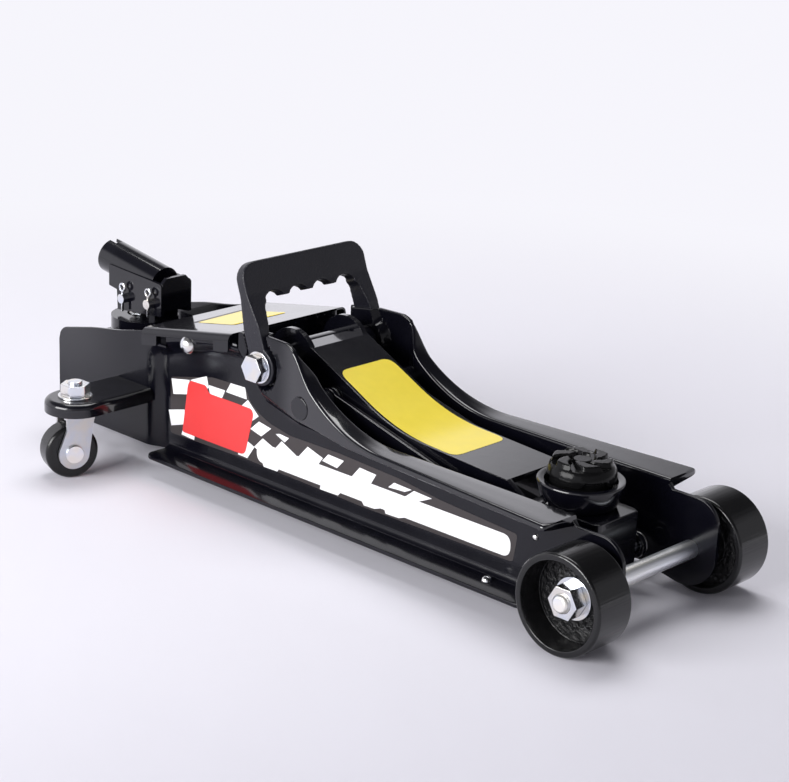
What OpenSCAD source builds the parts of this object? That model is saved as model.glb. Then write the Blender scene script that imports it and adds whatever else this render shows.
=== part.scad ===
// Low hydraulic floor jack. Its front wheels point to +X, its left side is +Y, and it stands on z = 0.
// Lengths along X are measured from the front axle, forward positive, and place() moves them to the origin.

/* [Front wheels and axle] */
// Diameter of a front wheel
wheel_d = 64; // [58:1:70]
// Width of a front wheel
wheel_w = 31; // [28:1:36]
// Distance from the middle plane to the inner face of a front wheel
wheel_in_y = 54.5; // [53:0.5:58]
// Thickness of a front wheel's rim
rim_t = 4.5; // [3:0.5:7]
// Depth from a front wheel's outer face to its web
web_depth = 18; // [16:1:19]
// Thickness of a front wheel's web
wheel_web_t = 6; // [4:1:8]
// Diameter of a front wheel's hub
hub_d = 30; // [24:1:36]
// Diameter of the front axle
axle_d = 12; // [10:1:14]
// Width across the flats of an axle nut
axle_nut_af = 19; // [17:1:22]
// Height of an axle nut
axle_nut_h = 10; // [8:1:11]
// Diameter of an axle washer
axle_washer_d = 27; // [24:1:32]

/* [Side plates] */
// Thickness of the pressed side plates
plate_t = 3; // [2.5:0.5:4]
// Distance from the middle plane to the outer face of the sunk web
web_y = 49; // [48:0.5:51]
// Distance from the middle plane to the outer face of the tail and the top band
band_y = 55; // [54:0.5:57]
// Distance from the middle plane to the outer edge of the top flange at its front end
flange_y = 76; // [72:1:80]
// Distance from the middle plane to the outer edge of the bottom flange
foot_y = 72; // [66:1:76]
// Height of the underside of the bottom flange
foot_z = 12.5; // [11:0.5:14]
// Height of the top of the flange along its straight front stretch
flange_z = 73; // [70:0.5:76]
// Radius of the upward sweep of the flange
sweep_r = 112; // [108:1:118]
// Distance from the main pivot forward to the start of the flange's sweep
sweep_l = 120; // [117:1:125]
// Front end of the top flange
flange_front_x = -20; // [-24:1:-18]
// Height of the flat top beside the main pivot
top_z = 124; // [122:0.5:126]
// Distance of the rounded nose ahead of the front axle
nose_l = 19; // [17:0.5:21]
// Radius of the lower round of the nose
nose_r = 24.5; // [23:0.5:25]
// Distance from the main pivot back to the rear edge of the tail
tail_l = 218; // [217:1:225]
// Height of the tail at its rear edge
tail_top_z = 78; // [76:0.5:80]
// Height of the tail's lower edge
tail_z = 13.5; // [12.5:0.5:15]
// Slope of the tail's top edge, rising forward
tail_slope = 0.2255; // [0.22:0.0005:0.23]
// Radius of the tail's rear corner
tail_r = 10; // [6:1:14]
// Distance from the main pivot back to the rear end of the sunk web
panel_l = 103; // [99:1:106]
// Height of the sunk web at its rear end
panel_z = 86; // [83:0.5:87]
// Height of the sunk web at its upper front corner
panel_front_z = 93; // [91:0.5:95]
// Distance from the main pivot back to the rear end of the bottom flange
foot_l = 100; // [95:1:102]

/* [Main pivot and lift arm] */
// Distance of the saddle pin behind the front axle
saddle_back = 73; // [72:0.5:74]
// Height of the main pivot
pivot_z = 101; // [100:0.5:102]
// Diameter of the main pivot shaft
pivot_d = 20; // [18:1:22]
// Radius of the arm's round ears
ear_r = 21.5; // [20:0.5:23]
// Distance from the middle plane to the outer face of the arm's walls
arm_y = 27; // [26:0.25:27.25]
// Thickness of the arm's plate
arm_t = 4; // [3:0.5:5]
// Distance of the saddle pin forward from the main pivot
arm_reach = 212; // [209:1:215]
// Height of the saddle pin
saddle_pin_z = 47; // [46:0.5:47.5]
// Diameter of the saddle pin
saddle_pin_d = 12; // [10:0.5:13]
// Distance from the main pivot to the crank pin
crank_r = 50; // [49:0.5:51]
// Diameter of the crank roller
roller_d = 16; // [15:0.5:18]
// Diameter of the crank pin
crank_pin_d = 10; // [8:0.5:11]
// Largest lift of the arm, in degrees
lift_max = 70; // [60:1:70]

/* [Saddle] */
// Distance of the saddle's axis ahead of the saddle pin
saddle_fwd = 19.4; // [18:0.1:20.5]
// Height of the underside of the saddle cup
cup_z = 58; // [57.5:0.5:60]
// Outer diameter of the saddle cup
cup_d = 56; // [54:0.5:57]
// Thickness of the saddle cup's wall
cup_t = 5; // [4:0.5:6]
// Height of the saddle cup
cup_h = 17; // [15:0.5:19]
// Diameter of the saddle pad's head
pad_d = 44; // [42:0.5:46]
// Height of the saddle pad above the cup
pad_h = 14; // [12:0.5:16]
// Diameter of the saddle pad's stem
stem_d = 16; // [14:0.5:18]

/* [Levelling links] */
// Distance of a link stud forward from the main pivot
link_dx = 41; // [40:0.5:42]
// Distance of a link stud below the main pivot
link_dz = 18; // [17:0.5:18.5]
// Width of a link bar
link_w = 14; // [12:0.5:15]
// Thickness of a link bar
link_t = 4; // [3:0.5:5]
// Diameter of the link pins
link_pin_d = 10; // [8:0.5:10.5]
// Diameter of the shoulder of a link stud
stud_d = 16; // [14:0.5:18]

/* [Hydraulic unit] */
// Height of the ram's axis
ram_z = 54; // [52:0.5:55]
// Diameter of the ram rod
ram_d = 28; // [24:1:30]
// Inner diameter of the cylinder liner
bore_d = 35; // [33:0.5:37]
// Wall of the cylinder liner
liner_t = 3.5; // [2.5:0.5:4.5]
// Outer diameter of the reservoir
reservoir_d = 60; // [57:1:62]
// Wall of the reservoir
reservoir_t = 3; // [2:0.5:4]
// Distance from the main pivot back to the front end of the pump block
block_back = 155; // [154:0.5:156]
// Length of the pump block
block_l = 60; // [58:1:61]
// Half width of the pump block
block_y = 44; // [43:0.5:46]
// Height of the pump block's top
block_z = 70; // [68:0.5:72]
// Distance from the main pivot back to the front end of the reservoir
reservoir_back = 64; // [63:0.5:65]
// Thickness of the gland
gland_t = 8; // [6:0.5:8]
// Thickness of the ram head
head_t = 12; // [11:0.5:13]
// Thickness of the base plate
base_t = 3.5; // [3:0.5:5]
// Wire diameter of the return springs
spring_wire = 2; // [1.5:0.1:2.5]
// Outer diameter of the return springs
spring_d = 12; // [10:0.5:13]
// Height of the return springs' axes
spring_z = 48; // [47:0.5:49]
// Number of curls of a return spring
spring_curls = 14; // [8:1:16]

/* [Pump socket] */
// Distance from the main pivot back to the yoke pin
yoke_back = 161; // [160:0.5:162]
// Height of the yoke pin
yoke_z = 101.5; // [101:0.5:102]
// Distance of the plunger pin behind the yoke pin
pump_arm = 29; // [28:0.5:30]
// Diameter of the yoke pin and the plunger pin
yoke_pin_d = 7; // [6:0.5:7.5]
// Distance from the middle plane to the outer face of the yoke's cheeks
yoke_y = 14.5; // [14.25:0.25:16]
// Thickness of the yoke's cheeks
yoke_t = 3; // [2.5:0.25:3.5]
// Outer diameter of the handle socket
socket_d = 26; // [25:0.5:28]
// Bore of the handle socket
socket_bore = 21; // [19:0.5:22]
// Length of the handle socket
socket_l = 61; // [58:1:66]
// Depth of the handle socket's bore from its rear end
socket_depth = 46; // [42:1:48]
// Rise of the handle socket towards the rear, in degrees
socket_rise = 9; // [7:0.5:10]
// Diameter of the plunger
plunger_d = 12; // [10:0.5:13]
// Diameter of the pump block's round collar
collar_d = 50; // [46:1:52]

/* [Casters] */
// Distance from the main pivot back to the caster stems
caster_back = 133; // [130:1:136]
// Distance from the middle plane to the caster stems
caster_y = 107; // [104:1:112]
// Diameter of a caster wheel
caster_d = 38; // [36:1:40]
// Width of a caster wheel
caster_w = 18; // [15:1:20]
// Trail of a caster wheel behind its stem
caster_trail = 5; // [4:0.5:8]
// Turn of a caster from straight back, outwards, in degrees
caster_turn = 70; // [0:1:90]
// Radius of the round ear of a caster bracket
caster_ear_r = 21.5; // [20:0.5:24]
// Height of a caster bracket's top
caster_top_z = 57; // [55:0.5:59]
// Diameter of a caster stem
caster_stem_d = 10; // [8:0.5:11]

/* [Carry handle] */
// Length of the carry handle from its bolts to its top
handle_l = 70; // [67:1:74]
// Lean of the carry handle to the rear, in degrees
handle_lean = 20; // [18:0.5:22]
// Half width of the carry handle's top bar
handle_y = 57.5; // [56:0.5:60]
// Height of the carry handle's top bar
grip_h = 22; // [20:0.5:24]
// Depth of the carry handle's top bar
grip_depth = 8; // [7:0.5:9]
// Depth of a carry handle leg at its foot
foot_depth = 16; // [14:0.5:18]
// Width of a carry handle leg under the bar
leg_w = 13; // [12:0.5:15]
// Thickness of the eye at a leg's foot
eye_t = 7.7; // [6:0.1:9]
// Radius of the eye at a leg's foot
eye_r = 13; // [11.5:0.5:14]
// Diameter of the carry handle's bolts
bolt_d = 10; // [8:0.5:11]

/* [Cover] */
// Thickness of the cover's sheet
cover_t = 2; // [1.5:0.25:2.5]
// Distance from the main pivot back to the rear end of the cover
cover_rear_l = 124; // [121:1:127]
// Distance from the main pivot back to the front end of the cover
cover_front_l = 29; // [28:1:33]
// Depth of the cover's front end under the top edge of the side plates
cover_sink = 4; // [3:0.5:6]

/* [Hidden] */
$fn = 64;

paint = "#141416";
zinc = "#b9bdc4";
steel = "#8d9096";
plastic = "#1d1d1f";

// Gap between faces that slide or turn past each other
play = 0.3;
// Radial clearance of a shaft in its bearing
run_fit = 0.05;
// Radial clearance of a bolt in its hole
bolt_fit = 0.1;

// Places along the jack that follow from the main pivot
pivot_x = -saddle_back - arm_reach;
saddle_x = saddle_fwd - saddle_back;
sweep_x = pivot_x + sweep_l;
tail_x = pivot_x - tail_l;
panel_x = pivot_x - panel_l;
foot_rear_x = pivot_x - foot_l;
block_x = pivot_x - block_back;
reservoir_x = pivot_x - reservoir_back;
yoke_x = pivot_x - yoke_back;
caster_x = pivot_x - caster_back;
cover_rear_x = pivot_x - cover_rear_l;
cover_front_x = pivot_x - cover_front_l;

// Places of the pivots in the XZ plane
pivot = [pivot_x, pivot_z];
saddle_pivot = [-saddle_back, saddle_pin_z];
link_offset = [link_dx, -link_dz];
stud = pivot + link_offset;
link_end = saddle_pivot + link_offset;
crank_start = -90 - lift_max / 2;
crank = pivot + crank_r * [cos(crank_start), sin(crank_start)];
yoke = [yoke_x, yoke_z];
plunger_pin_at = yoke + [-pump_arm, -2];
axle = [0, wheel_d / 2];

// The ram follows the crank at a steady rate, so its face keeps this gap to the roller
ram_gap = 1.2;
ram_face_x = crank[0] - roller_d / 2 - ram_gap;
ram_back_x = ram_face_x - head_t;
ram_stroke = 2 * crank_r * sin(lift_max / 2);

// Socket axis: its front end stands above the yoke pin
socket_front = yoke + [-3.3, 11.5];
socket_back = socket_front + socket_l * [-cos(socket_rise), sin(socket_rise)];

// The origin is under the middle of the whole length
rear_x = socket_back[0] - socket_d / 2 * sin(socket_rise);
front_x = wheel_d / 2;
middle_x = (rear_x + front_x) / 2;

web_in = web_y - plate_t;
band_in = band_y - plate_t;
flare = atan((flange_y - band_y) / (flange_front_x - pivot_x));
function top_edge(x) = tail_top_z + (x - tail_x) * tail_slope;
function lip_y(x) = band_y + (x - pivot_x) * tan(flare);
function polar(r, a) = r * [cos(a), sin(a)];
function arc(c, r, from, to, n) = [for (i = [0:n]) c + polar(r, from + (to - from) * i / n)];

module place() { translate([-middle_x, 0, 0]) children(); }
module slab(y0, y1) { translate([0, y1, 0]) rotate([90, 0, 0]) linear_extrude(y1 - y0) children(); }
module at(p) { translate([p[0], 0, p[1]]) children(); }
module rod(p, d, y0, y1) { at(p) slab(y0, y1) circle(d = d); }
module hex_rod(p, af, y0, y1) { at(p) slab(y0, y1) circle(d = af / cos(30), $fn = 6); }
module turned(p) { at(p) rotate([-90, 0, 0]) rotate_extrude() children(); }
module side(s) { if (s > 0) children(); else mirror([0, 1, 0]) children(); }
module both() { side(1) children(); side(-1) children(); }
module post(x, y, d, z0, z1) { translate([x, y, z0]) cylinder(d = d, h = z1 - z0); }

// Sweep of the flange from the flat top forward, at a depth under its top face
sweep_centre = [sweep_x, flange_z + sweep_r];
sweep_end = acos((flange_z + sweep_r - top_z) / sweep_r);
function flange_line(depth) = concat(
    arc(sweep_centre, sweep_r + depth, -90 - sweep_end, -90, 14),
    [[flange_front_x, flange_z - depth]]
);
top_corner_x = sweep_x - sweep_r * sin(sweep_end);

// Notch in the top edge where a leg of the carry handle passes
notch_rear_x = pivot_x - 27;
notch_front_x = pivot_x + 13;
notch_z = pivot_z + 14;
// Slot in the top edge beside the rear tab of the cover
slot_x = cover_rear_x + 19.5;
slot_w = 7;
slot_h = 13;
// Upper front corner of the sunk web, and the lowest point of the outer lip
panel_top = [pivot_x - 18, panel_front_z];
lip_root_z = pivot_z - 22;
lip_low = [pivot_x + 33, flange_z - plate_t];
// Overlap of the lip with the band behind it, its step in from the flange's edge, and its depth under the flange
lip_root = 6;
lip_inset = 0.6;
lip_h = 1.5;
// Centres of the lower round and the upper corner of the nose
nose_c = [nose_l - nose_r, wheel_d / 2 - 1];
nose_corner = 11;
nose_top_z = flange_z - 6.5;
nose_corner_c = [nose_l - nose_corner, nose_top_z - nose_corner];
flange_round = 4;
// Round pocket in the plate for an eye of the carry handle, its wall, and the slot above it for the leg
pocket_r = eye_r + 1.5;
pocket_wall = 2;
pocket_out_y = band_in + 1.2;
leg_slot_w = foot_depth + 3;
foot_front_x = -wheel_d / 2 - 5;

module web_outline() {
    polygon(concat(
        [[panel_x, foot_z], [panel_x, panel_z], panel_top],
        [[panel_top[0], notch_z], [notch_front_x, notch_z], [notch_front_x, top_z]],
        flange_line(0),
        [[flange_front_x, flange_z - plate_t], [flange_front_x + plate_t, nose_top_z]],
        arc(nose_corner_c, nose_corner, 90, 0, 8),
        arc(nose_c, nose_r, 0, -100, 14),
        [[foot_front_x, foot_z]]
    ));
}

module band_outline() {
    corner_z = tail_top_z + tail_r * tail_slope - tail_r * sqrt(1 + tail_slope * tail_slope);
    difference() {
        polygon(concat(
            [[panel_x, tail_z], [tail_x, tail_z]],
            arc([tail_x + tail_r, corner_z], tail_r, 180, 90 + atan(tail_slope), 8),
            [[notch_rear_x, top_edge(notch_rear_x)], [notch_rear_x, notch_z], [pivot_x, notch_z]],
            [[pivot_x, lip_root_z], panel_top, [panel_x, panel_z]]
        ));
        translate([slot_x, top_edge(slot_x) - slot_h]) square([slot_w, 2 * slot_h]);
    }
}

// Outline of the outer lip in its flared plane, measured along the lip from the main pivot
module lip_outline() {
    along = 1 / cos(flare);
    top = plate_t / 2;
    front = flange_front_x - 2 * flange_round;
    polygon([for (p = concat(
        [[pivot_x - lip_root, lip_root_z], [pivot_x, lip_root_z], lip_low],
        [[front, flange_z - plate_t - lip_h], [front, flange_z - top]],
        arc(sweep_centre, sweep_r + top, -90, -90 - sweep_end, 14),
        [[notch_front_x + top, top_z - top], [notch_front_x + top, notch_z - top], [pivot_x - lip_root, notch_z - top]]
    )) [(p[0] - pivot_x) * along, p[1]]]);
}

// Wall of the pressed step along the rear and upper edges of the sunk web
module step_wall() {
    slope = (panel_top[1] - panel_z) / (panel_top[0] - panel_x);
    lift = plate_t * (sqrt(1 + slope * slope) - slope);
    end_z = notch_z - plate_t / 2;
    polygon([
        [panel_x, tail_z], [panel_x, panel_z], panel_top, [panel_top[0], end_z], [panel_top[0] - plate_t, end_z],
        panel_top + [-plate_t, lift], [panel_x - plate_t, panel_z + lift], [panel_x - plate_t, tail_z]
    ]);
}

// Plan of the top flange, with its rounded front corner
module flange_plan() {
    polygon(concat(
        [[flange_front_x, web_in]],
        arc([flange_front_x - flange_round, flange_y - flange_round], flange_round, 0, 90, 6),
        [[pivot_x, band_y], [pivot_x, web_in]]
    ));
}

module eye_pocket() {
    circle(r = pocket_r);
    rotate(handle_lean) translate([-leg_slot_w / 2, 0]) square([leg_slot_w, 2 * pocket_r]);
}

module side_plate() {
    difference() {
        union() {
            slab(web_in, web_y) web_outline();
            slab(band_in, band_y) band_outline();
            slab(web_in, band_y) {
                step_wall();
                translate([panel_top[0], notch_z - plate_t]) square([notch_front_x - panel_top[0] + plate_t, plate_t]);
                translate([notch_front_x, notch_z - plate_t]) square([plate_t, top_z - notch_z + plate_t]);
                translate([notch_front_x, top_z - plate_t]) square([top_corner_x - notch_front_x + plate_t, plate_t]);
            }
            translate([pivot_x, band_y - lip_inset, 0]) rotate([0, 0, flare]) slab(-plate_t, 0) lip_outline();
            intersection() {
                slab(web_in, flange_y) polygon(concat(flange_line(0), [for (i = [15:-1:0]) flange_line(plate_t)[i]]));
                linear_extrude(2 * top_z) flange_plan();
            }
            translate([foot_rear_x, web_in, foot_z]) cube([foot_front_x - foot_rear_x, foot_y - web_in, plate_t]);
            intersection() {
                rod(pivot, 2 * (pocket_r + pocket_wall), web_in, pocket_out_y);
                translate([pivot_x - 2 * pocket_r, 0, 0]) cube([4 * pocket_r, band_y, notch_z - plate_t / 2]);
            }
        }
        at(pivot) slab(web_y, flange_y) eye_pocket();
        rod(axle, axle_d + 2 * bolt_fit, 0, band_y);
        rod(pivot, bolt_d + 2 * bolt_fit, 0, flange_y);
        rod(stud, stud_d + 2 * bolt_fit, 0, flange_y);
        rod(screw_at, screw_d + 2 * bolt_fit, 0, flange_y);
        post(foot_hole_x, web_y + foot_hole_in, foot_hole_d, 0, foot_z + 2 * plate_t);
    }
}
foot_hole_x = -76;
foot_hole_in = 9.5;
foot_hole_d = 8;
module side_plate_left() { color(paint) place() side_plate(); }
module side_plate_right() { color(paint) place() side(-1) side_plate(); }

// Plate between the tails that carries the pump block
module base_plate() {
    color(paint) place() difference() {
        translate([block_x - block_l, -band_in, tail_z]) cube([block_l, 2 * band_in, base_t]);
        block_screw_places() post(0, 0, block_screw_d + 2 * bolt_fit, tail_z - base_t, tail_z + 2 * base_t);
    }
}
block_screw_d = 8;
block_screw_in = 10;
block_screw_l = 14;
block_floor = tail_z + base_t;
module block_screw_places() {
    for (x = [block_x - block_l + block_screw_in, block_x - block_screw_in], y = [-1, 1] * (block_y - block_screw_in))
        translate([x, y, 0]) children();
}
module block_screws() {
    head_d = block_screw_d * 1.5;
    head_h = 3;
    color(zinc) place() block_screw_places() {
        post(0, 0, block_screw_d, tail_z, block_floor + block_screw_l);
        post(0, 0, head_d, tail_z - head_h, tail_z);
    }
}

// Cover over the hydraulic unit: a sloped sheet between the plates, with tabs that hook over their edges
screw_d = 6;
screw_at = [cover_rear_x + 49, top_edge(cover_rear_x + 49) - 12];
tab_t = 1.5;
tab_h = 14;
tab_rear_w = 15;
tab_front_w = 16;
cover_skirt = top_edge(panel_x) - panel_z - plate_t - 1;
function sloped(x0, x1, low, high) = [
    [x0, top_edge(x0) + low], [x1, top_edge(x1) + low], [x1, top_edge(x1) + high], [x0, top_edge(x0) + high]
];
function cover_z(x) = top_edge(x) - cover_sink * (x - cover_rear_x) / (cover_front_x - cover_rear_x);
module top_cover() {
    front_lip = 14;
    corner = 8;
    tab_in = band_y + bolt_fit;
    skirt_y = band_in - bolt_fit;
    x0 = cover_rear_x;
    x1 = cover_front_x;
    color(paint) place() difference() {
        union() {
            difference() {
                union() {
                    slab(-skirt_y, skirt_y) polygon([
                        [x0, cover_z(x0) - cover_t], [x1, cover_z(x1) - cover_t], [x1, cover_z(x1)], [x0, cover_z(x0)]
                    ]);
                    both() slab(skirt_y - cover_t, skirt_y) polygon([
                        [x0, top_edge(x0) - cover_skirt], [x1, top_edge(x1) - cover_skirt],
                        [x1, cover_z(x1)], [x0, cover_z(x0)]
                    ]);
                }
                both() linear_extrude(2 * top_z)
                    polygon([[x1 + 1, skirt_y - corner - 1], [x1 + 1, skirt_y + 1], [x1 - corner - 1, skirt_y + 1]]);
            }
            translate([x1 - cover_t, corner - skirt_y, cover_z(x1) - front_lip])
                cube([cover_t, 2 * (skirt_y - corner), front_lip - cover_t / 2]);
            both() {
                cover_tab(x0 + 2, x0 + 2 + tab_rear_w, skirt_y, tab_in);
                cover_tab(x1 - tab_front_w, x1, skirt_y, tab_in);
            }
        }
        rod(screw_at, screw_d + 2 * bolt_fit, -flange_y, flange_y);
    }
}
module cover_tab(x0, x1, skirt_y, tab_in) {
    slab(skirt_y - cover_t, skirt_y) polygon(sloped(x0, x1, -tab_h, cover_t));
    slab(skirt_y - cover_t, tab_in + tab_t) polygon(sloped(x0, x1, bolt_fit, cover_t));
    slab(tab_in, tab_in + tab_t) polygon(sloped(x0, x1, -tab_h, cover_t));
}
module cover_screws() {
    dome_d = 13;
    dome_h = 4.5;
    dome_r = (dome_d * dome_d / 4 + dome_h * dome_h) / (2 * dome_h);
    color(zinc) place() both() {
        rod(screw_at, screw_d, band_in - 10, band_y + dome_h / 2);
        intersection() {
            translate([screw_at[0], band_y + dome_h - dome_r, screw_at[1]]) sphere(r = dome_r);
            rod(screw_at, 2 * dome_d, band_y, band_y + 2 * dome_h);
        }
    }
}

// Front axle and wheels
wheel_out_y = wheel_in_y + wheel_w;
web_out_y = wheel_out_y - web_depth;
axle_washer_t = 2.5;
washer_y = web_out_y + play;
nut_y = washer_y + axle_washer_t;
axle_end_y = nut_y + axle_nut_h + 3;
module front_axle() {
    end_chamfer = 1.5;
    color(zinc) place() turned(axle) polygon([
        [0, -axle_end_y], [axle_d / 2 - end_chamfer, -axle_end_y], [axle_d / 2, -axle_end_y + end_chamfer],
        [axle_d / 2, axle_end_y - end_chamfer], [axle_d / 2 - end_chamfer, axle_end_y], [0, axle_end_y]
    ]);
}
module on_axle(d, y0, y1) {
    both() difference() {
        rod(axle, d, y0, y1);
        rod(axle, axle_d + 2 * run_fit, y0 - 1, y1 + 1);
    }
}
module axle_spacers() { color(zinc) place() on_axle(axle_d + 8, web_y, wheel_in_y - play); }
module axle_washers() { color(zinc) place() on_axle(axle_washer_d, washer_y, nut_y); }
module axle_nuts() {
    color(zinc) place() both() difference() {
        hex_rod(axle, axle_nut_af, nut_y, nut_y + axle_nut_h);
        rod(axle, axle_d + 2 * run_fit, nut_y - 1, nut_y + axle_nut_h + 1);
    }
}
module front_wheel() {
    edge = 1.2;
    r = wheel_d / 2;
    in_r = r - rim_t;
    bore = axle_d / 2 + run_fit;
    turned(axle) polygon([
        [bore, wheel_in_y], [hub_d / 2, wheel_in_y], [hub_d / 2, web_out_y - wheel_web_t],
        [in_r, web_out_y - wheel_web_t], [in_r, wheel_in_y], [r - edge, wheel_in_y], [r, wheel_in_y + edge],
        [r, wheel_out_y - edge], [r - edge, wheel_out_y], [in_r, wheel_out_y],
        [in_r, web_out_y], [bore, web_out_y]
    ]);
}
module front_wheel_left() { color(paint) place() front_wheel(); }
module front_wheel_right() { color(paint) place() side(-1) front_wheel(); }

// Rear casters on brackets welded to the tail
bracket_t = 3;
bracket_rim = 9.5;
fork_t = 2.5;
fork_top_t = 3;
fork_gap = 1;
fork_top_z = caster_top_z - 10.5;
fork_in_y = caster_w / 2 + fork_gap;
fork_out_y = fork_in_y + fork_t;
caster_axle_d = 8;
caster_axle_at = [caster_x - caster_trail, caster_d / 2];
module ear_plan(grow) {
    translate([caster_x, caster_y]) circle(r = caster_ear_r + grow);
    translate([caster_x - caster_ear_r - grow, band_y]) square([2 * (caster_ear_r + grow), caster_y - band_y]);
}
module caster_bracket() {
    difference() {
        translate([0, 0, caster_top_z - bracket_rim]) linear_extrude(bracket_rim) ear_plan(0);
        translate([0, 0, caster_top_z - 2 * bracket_rim]) linear_extrude(2 * bracket_rim - bracket_t)
            difference() {
                ear_plan(-bracket_t);
                translate([caster_x - 2 * caster_ear_r, 0]) square([4 * caster_ear_r, band_y + bracket_t]);
            }
        post(caster_x, caster_y, caster_stem_d + 2 * bolt_fit, 0, caster_top_z + bracket_t);
    }
}
module caster_bracket_left() { color(paint) place() caster_bracket(); }
module caster_bracket_right() { color(paint) place() side(-1) caster_bracket(); }
stem_head_h = 3;
caster_nut_h = 8;
caster_washer_t = 1.5;
stem_top_z = caster_top_z + caster_washer_t + caster_nut_h + 2;
module caster_stems() {
    race_d = 22;
    color(zinc) place() both() {
        post(caster_x, caster_y, caster_stem_d, fork_top_z - fork_top_t - play, stem_top_z);
        post(caster_x, caster_y, caster_stem_d + 6, fork_top_z - fork_top_t - play - stem_head_h,
            fork_top_z - fork_top_t - play);
        post(caster_x, caster_y, race_d, fork_top_z + play, caster_top_z - bracket_t);
    }
}
module caster_nuts() {
    nut_af = 18;
    nut_z = caster_top_z + caster_washer_t;
    color(zinc) place() both() difference() {
        union() {
            translate([caster_x, caster_y, nut_z]) cylinder(d = nut_af / cos(30), h = caster_nut_h, $fn = 6);
            post(caster_x, caster_y, nut_af + 6, caster_top_z, nut_z);
        }
        post(caster_x, caster_y, caster_stem_d + 2 * run_fit, caster_top_z - 1, 2 * stem_top_z);
    }
}
fork_w = 20;
fork_end_r = 11;
module fork_outline() {
    half = fork_w / 2;
    a = caster_axle_at;
    translate(a) circle(r = fork_end_r);
    polygon([
        [caster_x - half, fork_top_z], [caster_x + half, fork_top_z],
        a + polar(fork_end_r, -12), a + polar(fork_end_r, 168), [caster_x - half, fork_top_z - fork_w / 2]
    ]);
}
module caster_fork() {
    difference() {
        union() {
            for (y = [caster_y - fork_out_y, caster_y + fork_in_y]) slab(y, y + fork_t) fork_outline();
            translate([caster_x - fork_w / 2, caster_y - fork_out_y, fork_top_z - fork_top_t])
                cube([fork_w, 2 * fork_out_y, fork_top_t]);
        }
        post(caster_x, caster_y, caster_stem_d + 2 * run_fit, 0, caster_top_z);
        rod(caster_axle_at, caster_axle_d + 2 * run_fit, 0, 2 * caster_y);
    }
}
module caster_axle() {
    head_d = 13;
    head_t = 1.8;
    rod(caster_axle_at, caster_axle_d, caster_y - fork_out_y, caster_y + fork_out_y);
    for (y = [caster_y - fork_out_y - head_t, caster_y + fork_out_y]) rod(caster_axle_at, head_d, y, y + head_t);
}
module caster_wheel() {
    edge = 3;
    r = caster_d / 2;
    y0 = caster_y - caster_w / 2;
    y1 = caster_y + caster_w / 2;
    bore = caster_axle_d / 2 + run_fit;
    turned(caster_axle_at) polygon(concat(
        [[bore, y0]], arc([r - edge, y0 + edge], edge, -90, 0, 6), arc([r - edge, y1 - edge], edge, 0, 90, 6), [[bore, y1]]
    ));
}
module swivelled() {
    translate([caster_x, caster_y, 0]) rotate(-caster_turn) translate([-caster_x, -caster_y, 0]) children();
}
module caster_fork_left() { color(zinc) place() swivelled() caster_fork(); }
module caster_fork_right() { color(zinc) place() side(-1) swivelled() caster_fork(); }
module caster_axle_left() { color(zinc) place() swivelled() caster_axle(); }
module caster_axle_right() { color(zinc) place() side(-1) swivelled() caster_axle(); }
module caster_wheel_left() { color(plastic) place() swivelled() caster_wheel(); }
module caster_wheel_right() { color(plastic) place() side(-1) swivelled() caster_wheel(); }

// Main pivot shaft, whose threaded ends take the carry handle's bolts
thread_depth = 20;
module pivot_shaft() {
    end_y = web_in - bolt_fit;
    color(paint) place() difference() {
        rod(pivot, pivot_d, -end_y, end_y);
        both() rod(pivot, bolt_d + 2 * run_fit, end_y - thread_depth, end_y + 1);
    }
}
eye_in_y = web_y + bolt_fit;
eye_out_y = eye_in_y + eye_t;
bolt_washer_t = 1.6;
module handle_washers() {
    color(zinc) place() both() difference() {
        rod(pivot, 2 * eye_r - 4, eye_out_y, eye_out_y + bolt_washer_t);
        rod(pivot, bolt_d + 2 * bolt_fit, eye_out_y - 1, eye_out_y + bolt_washer_t + 1);
    }
}
module handle_bolts() {
    head_af = 17;
    head_h = 6.4;
    head_y = eye_out_y + bolt_washer_t;
    color(zinc) place() both() {
        rod(pivot, bolt_d, web_in - thread_depth + 2, head_y);
        hex_rod(pivot, head_af, head_y, head_y + head_h);
    }
}

// Carry handle, drawn in its own leaning plane with the bolts' axis at the origin
grip_low = handle_l - grip_h;
inner_y = handle_y - leg_w;
scallops = 4;
scallop_step = 2 * inner_y / scallops;
scallop_r = 0.5 * scallop_step;
scallop_w = scallop_step - 5;
cusp_h = 4.5;
leg_root = notch_z - pivot_z + 4;
handle_corner = 13;
module handle_outline() {
    difference() {
        polygon(concat(
            [[-eye_out_y, leg_root]],
            arc([-handle_y + handle_corner, handle_l - handle_corner], handle_corner, 172, 90, 6),
            arc([handle_y - handle_corner, handle_l - handle_corner], handle_corner, 90, 8, 6),
            [[eye_out_y, leg_root]]
        ));
        polygon([
            [-eye_in_y, leg_root - 1], [-inner_y, grip_low - 2 * cusp_h], [cusp_h - inner_y, grip_low - cusp_h],
            [inner_y - cusp_h, grip_low - cusp_h], [inner_y, grip_low - 2 * cusp_h], [eye_in_y, leg_root - 1]
        ]);
        for (i = [0:scallops - 1])
            translate([(i - (scallops - 1) / 2) * scallop_step, grip_low - scallop_r]) intersection() {
                circle(r = scallop_r);
                square([scallop_w, 4 * scallop_r], center = true);
            }
    }
}
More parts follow.
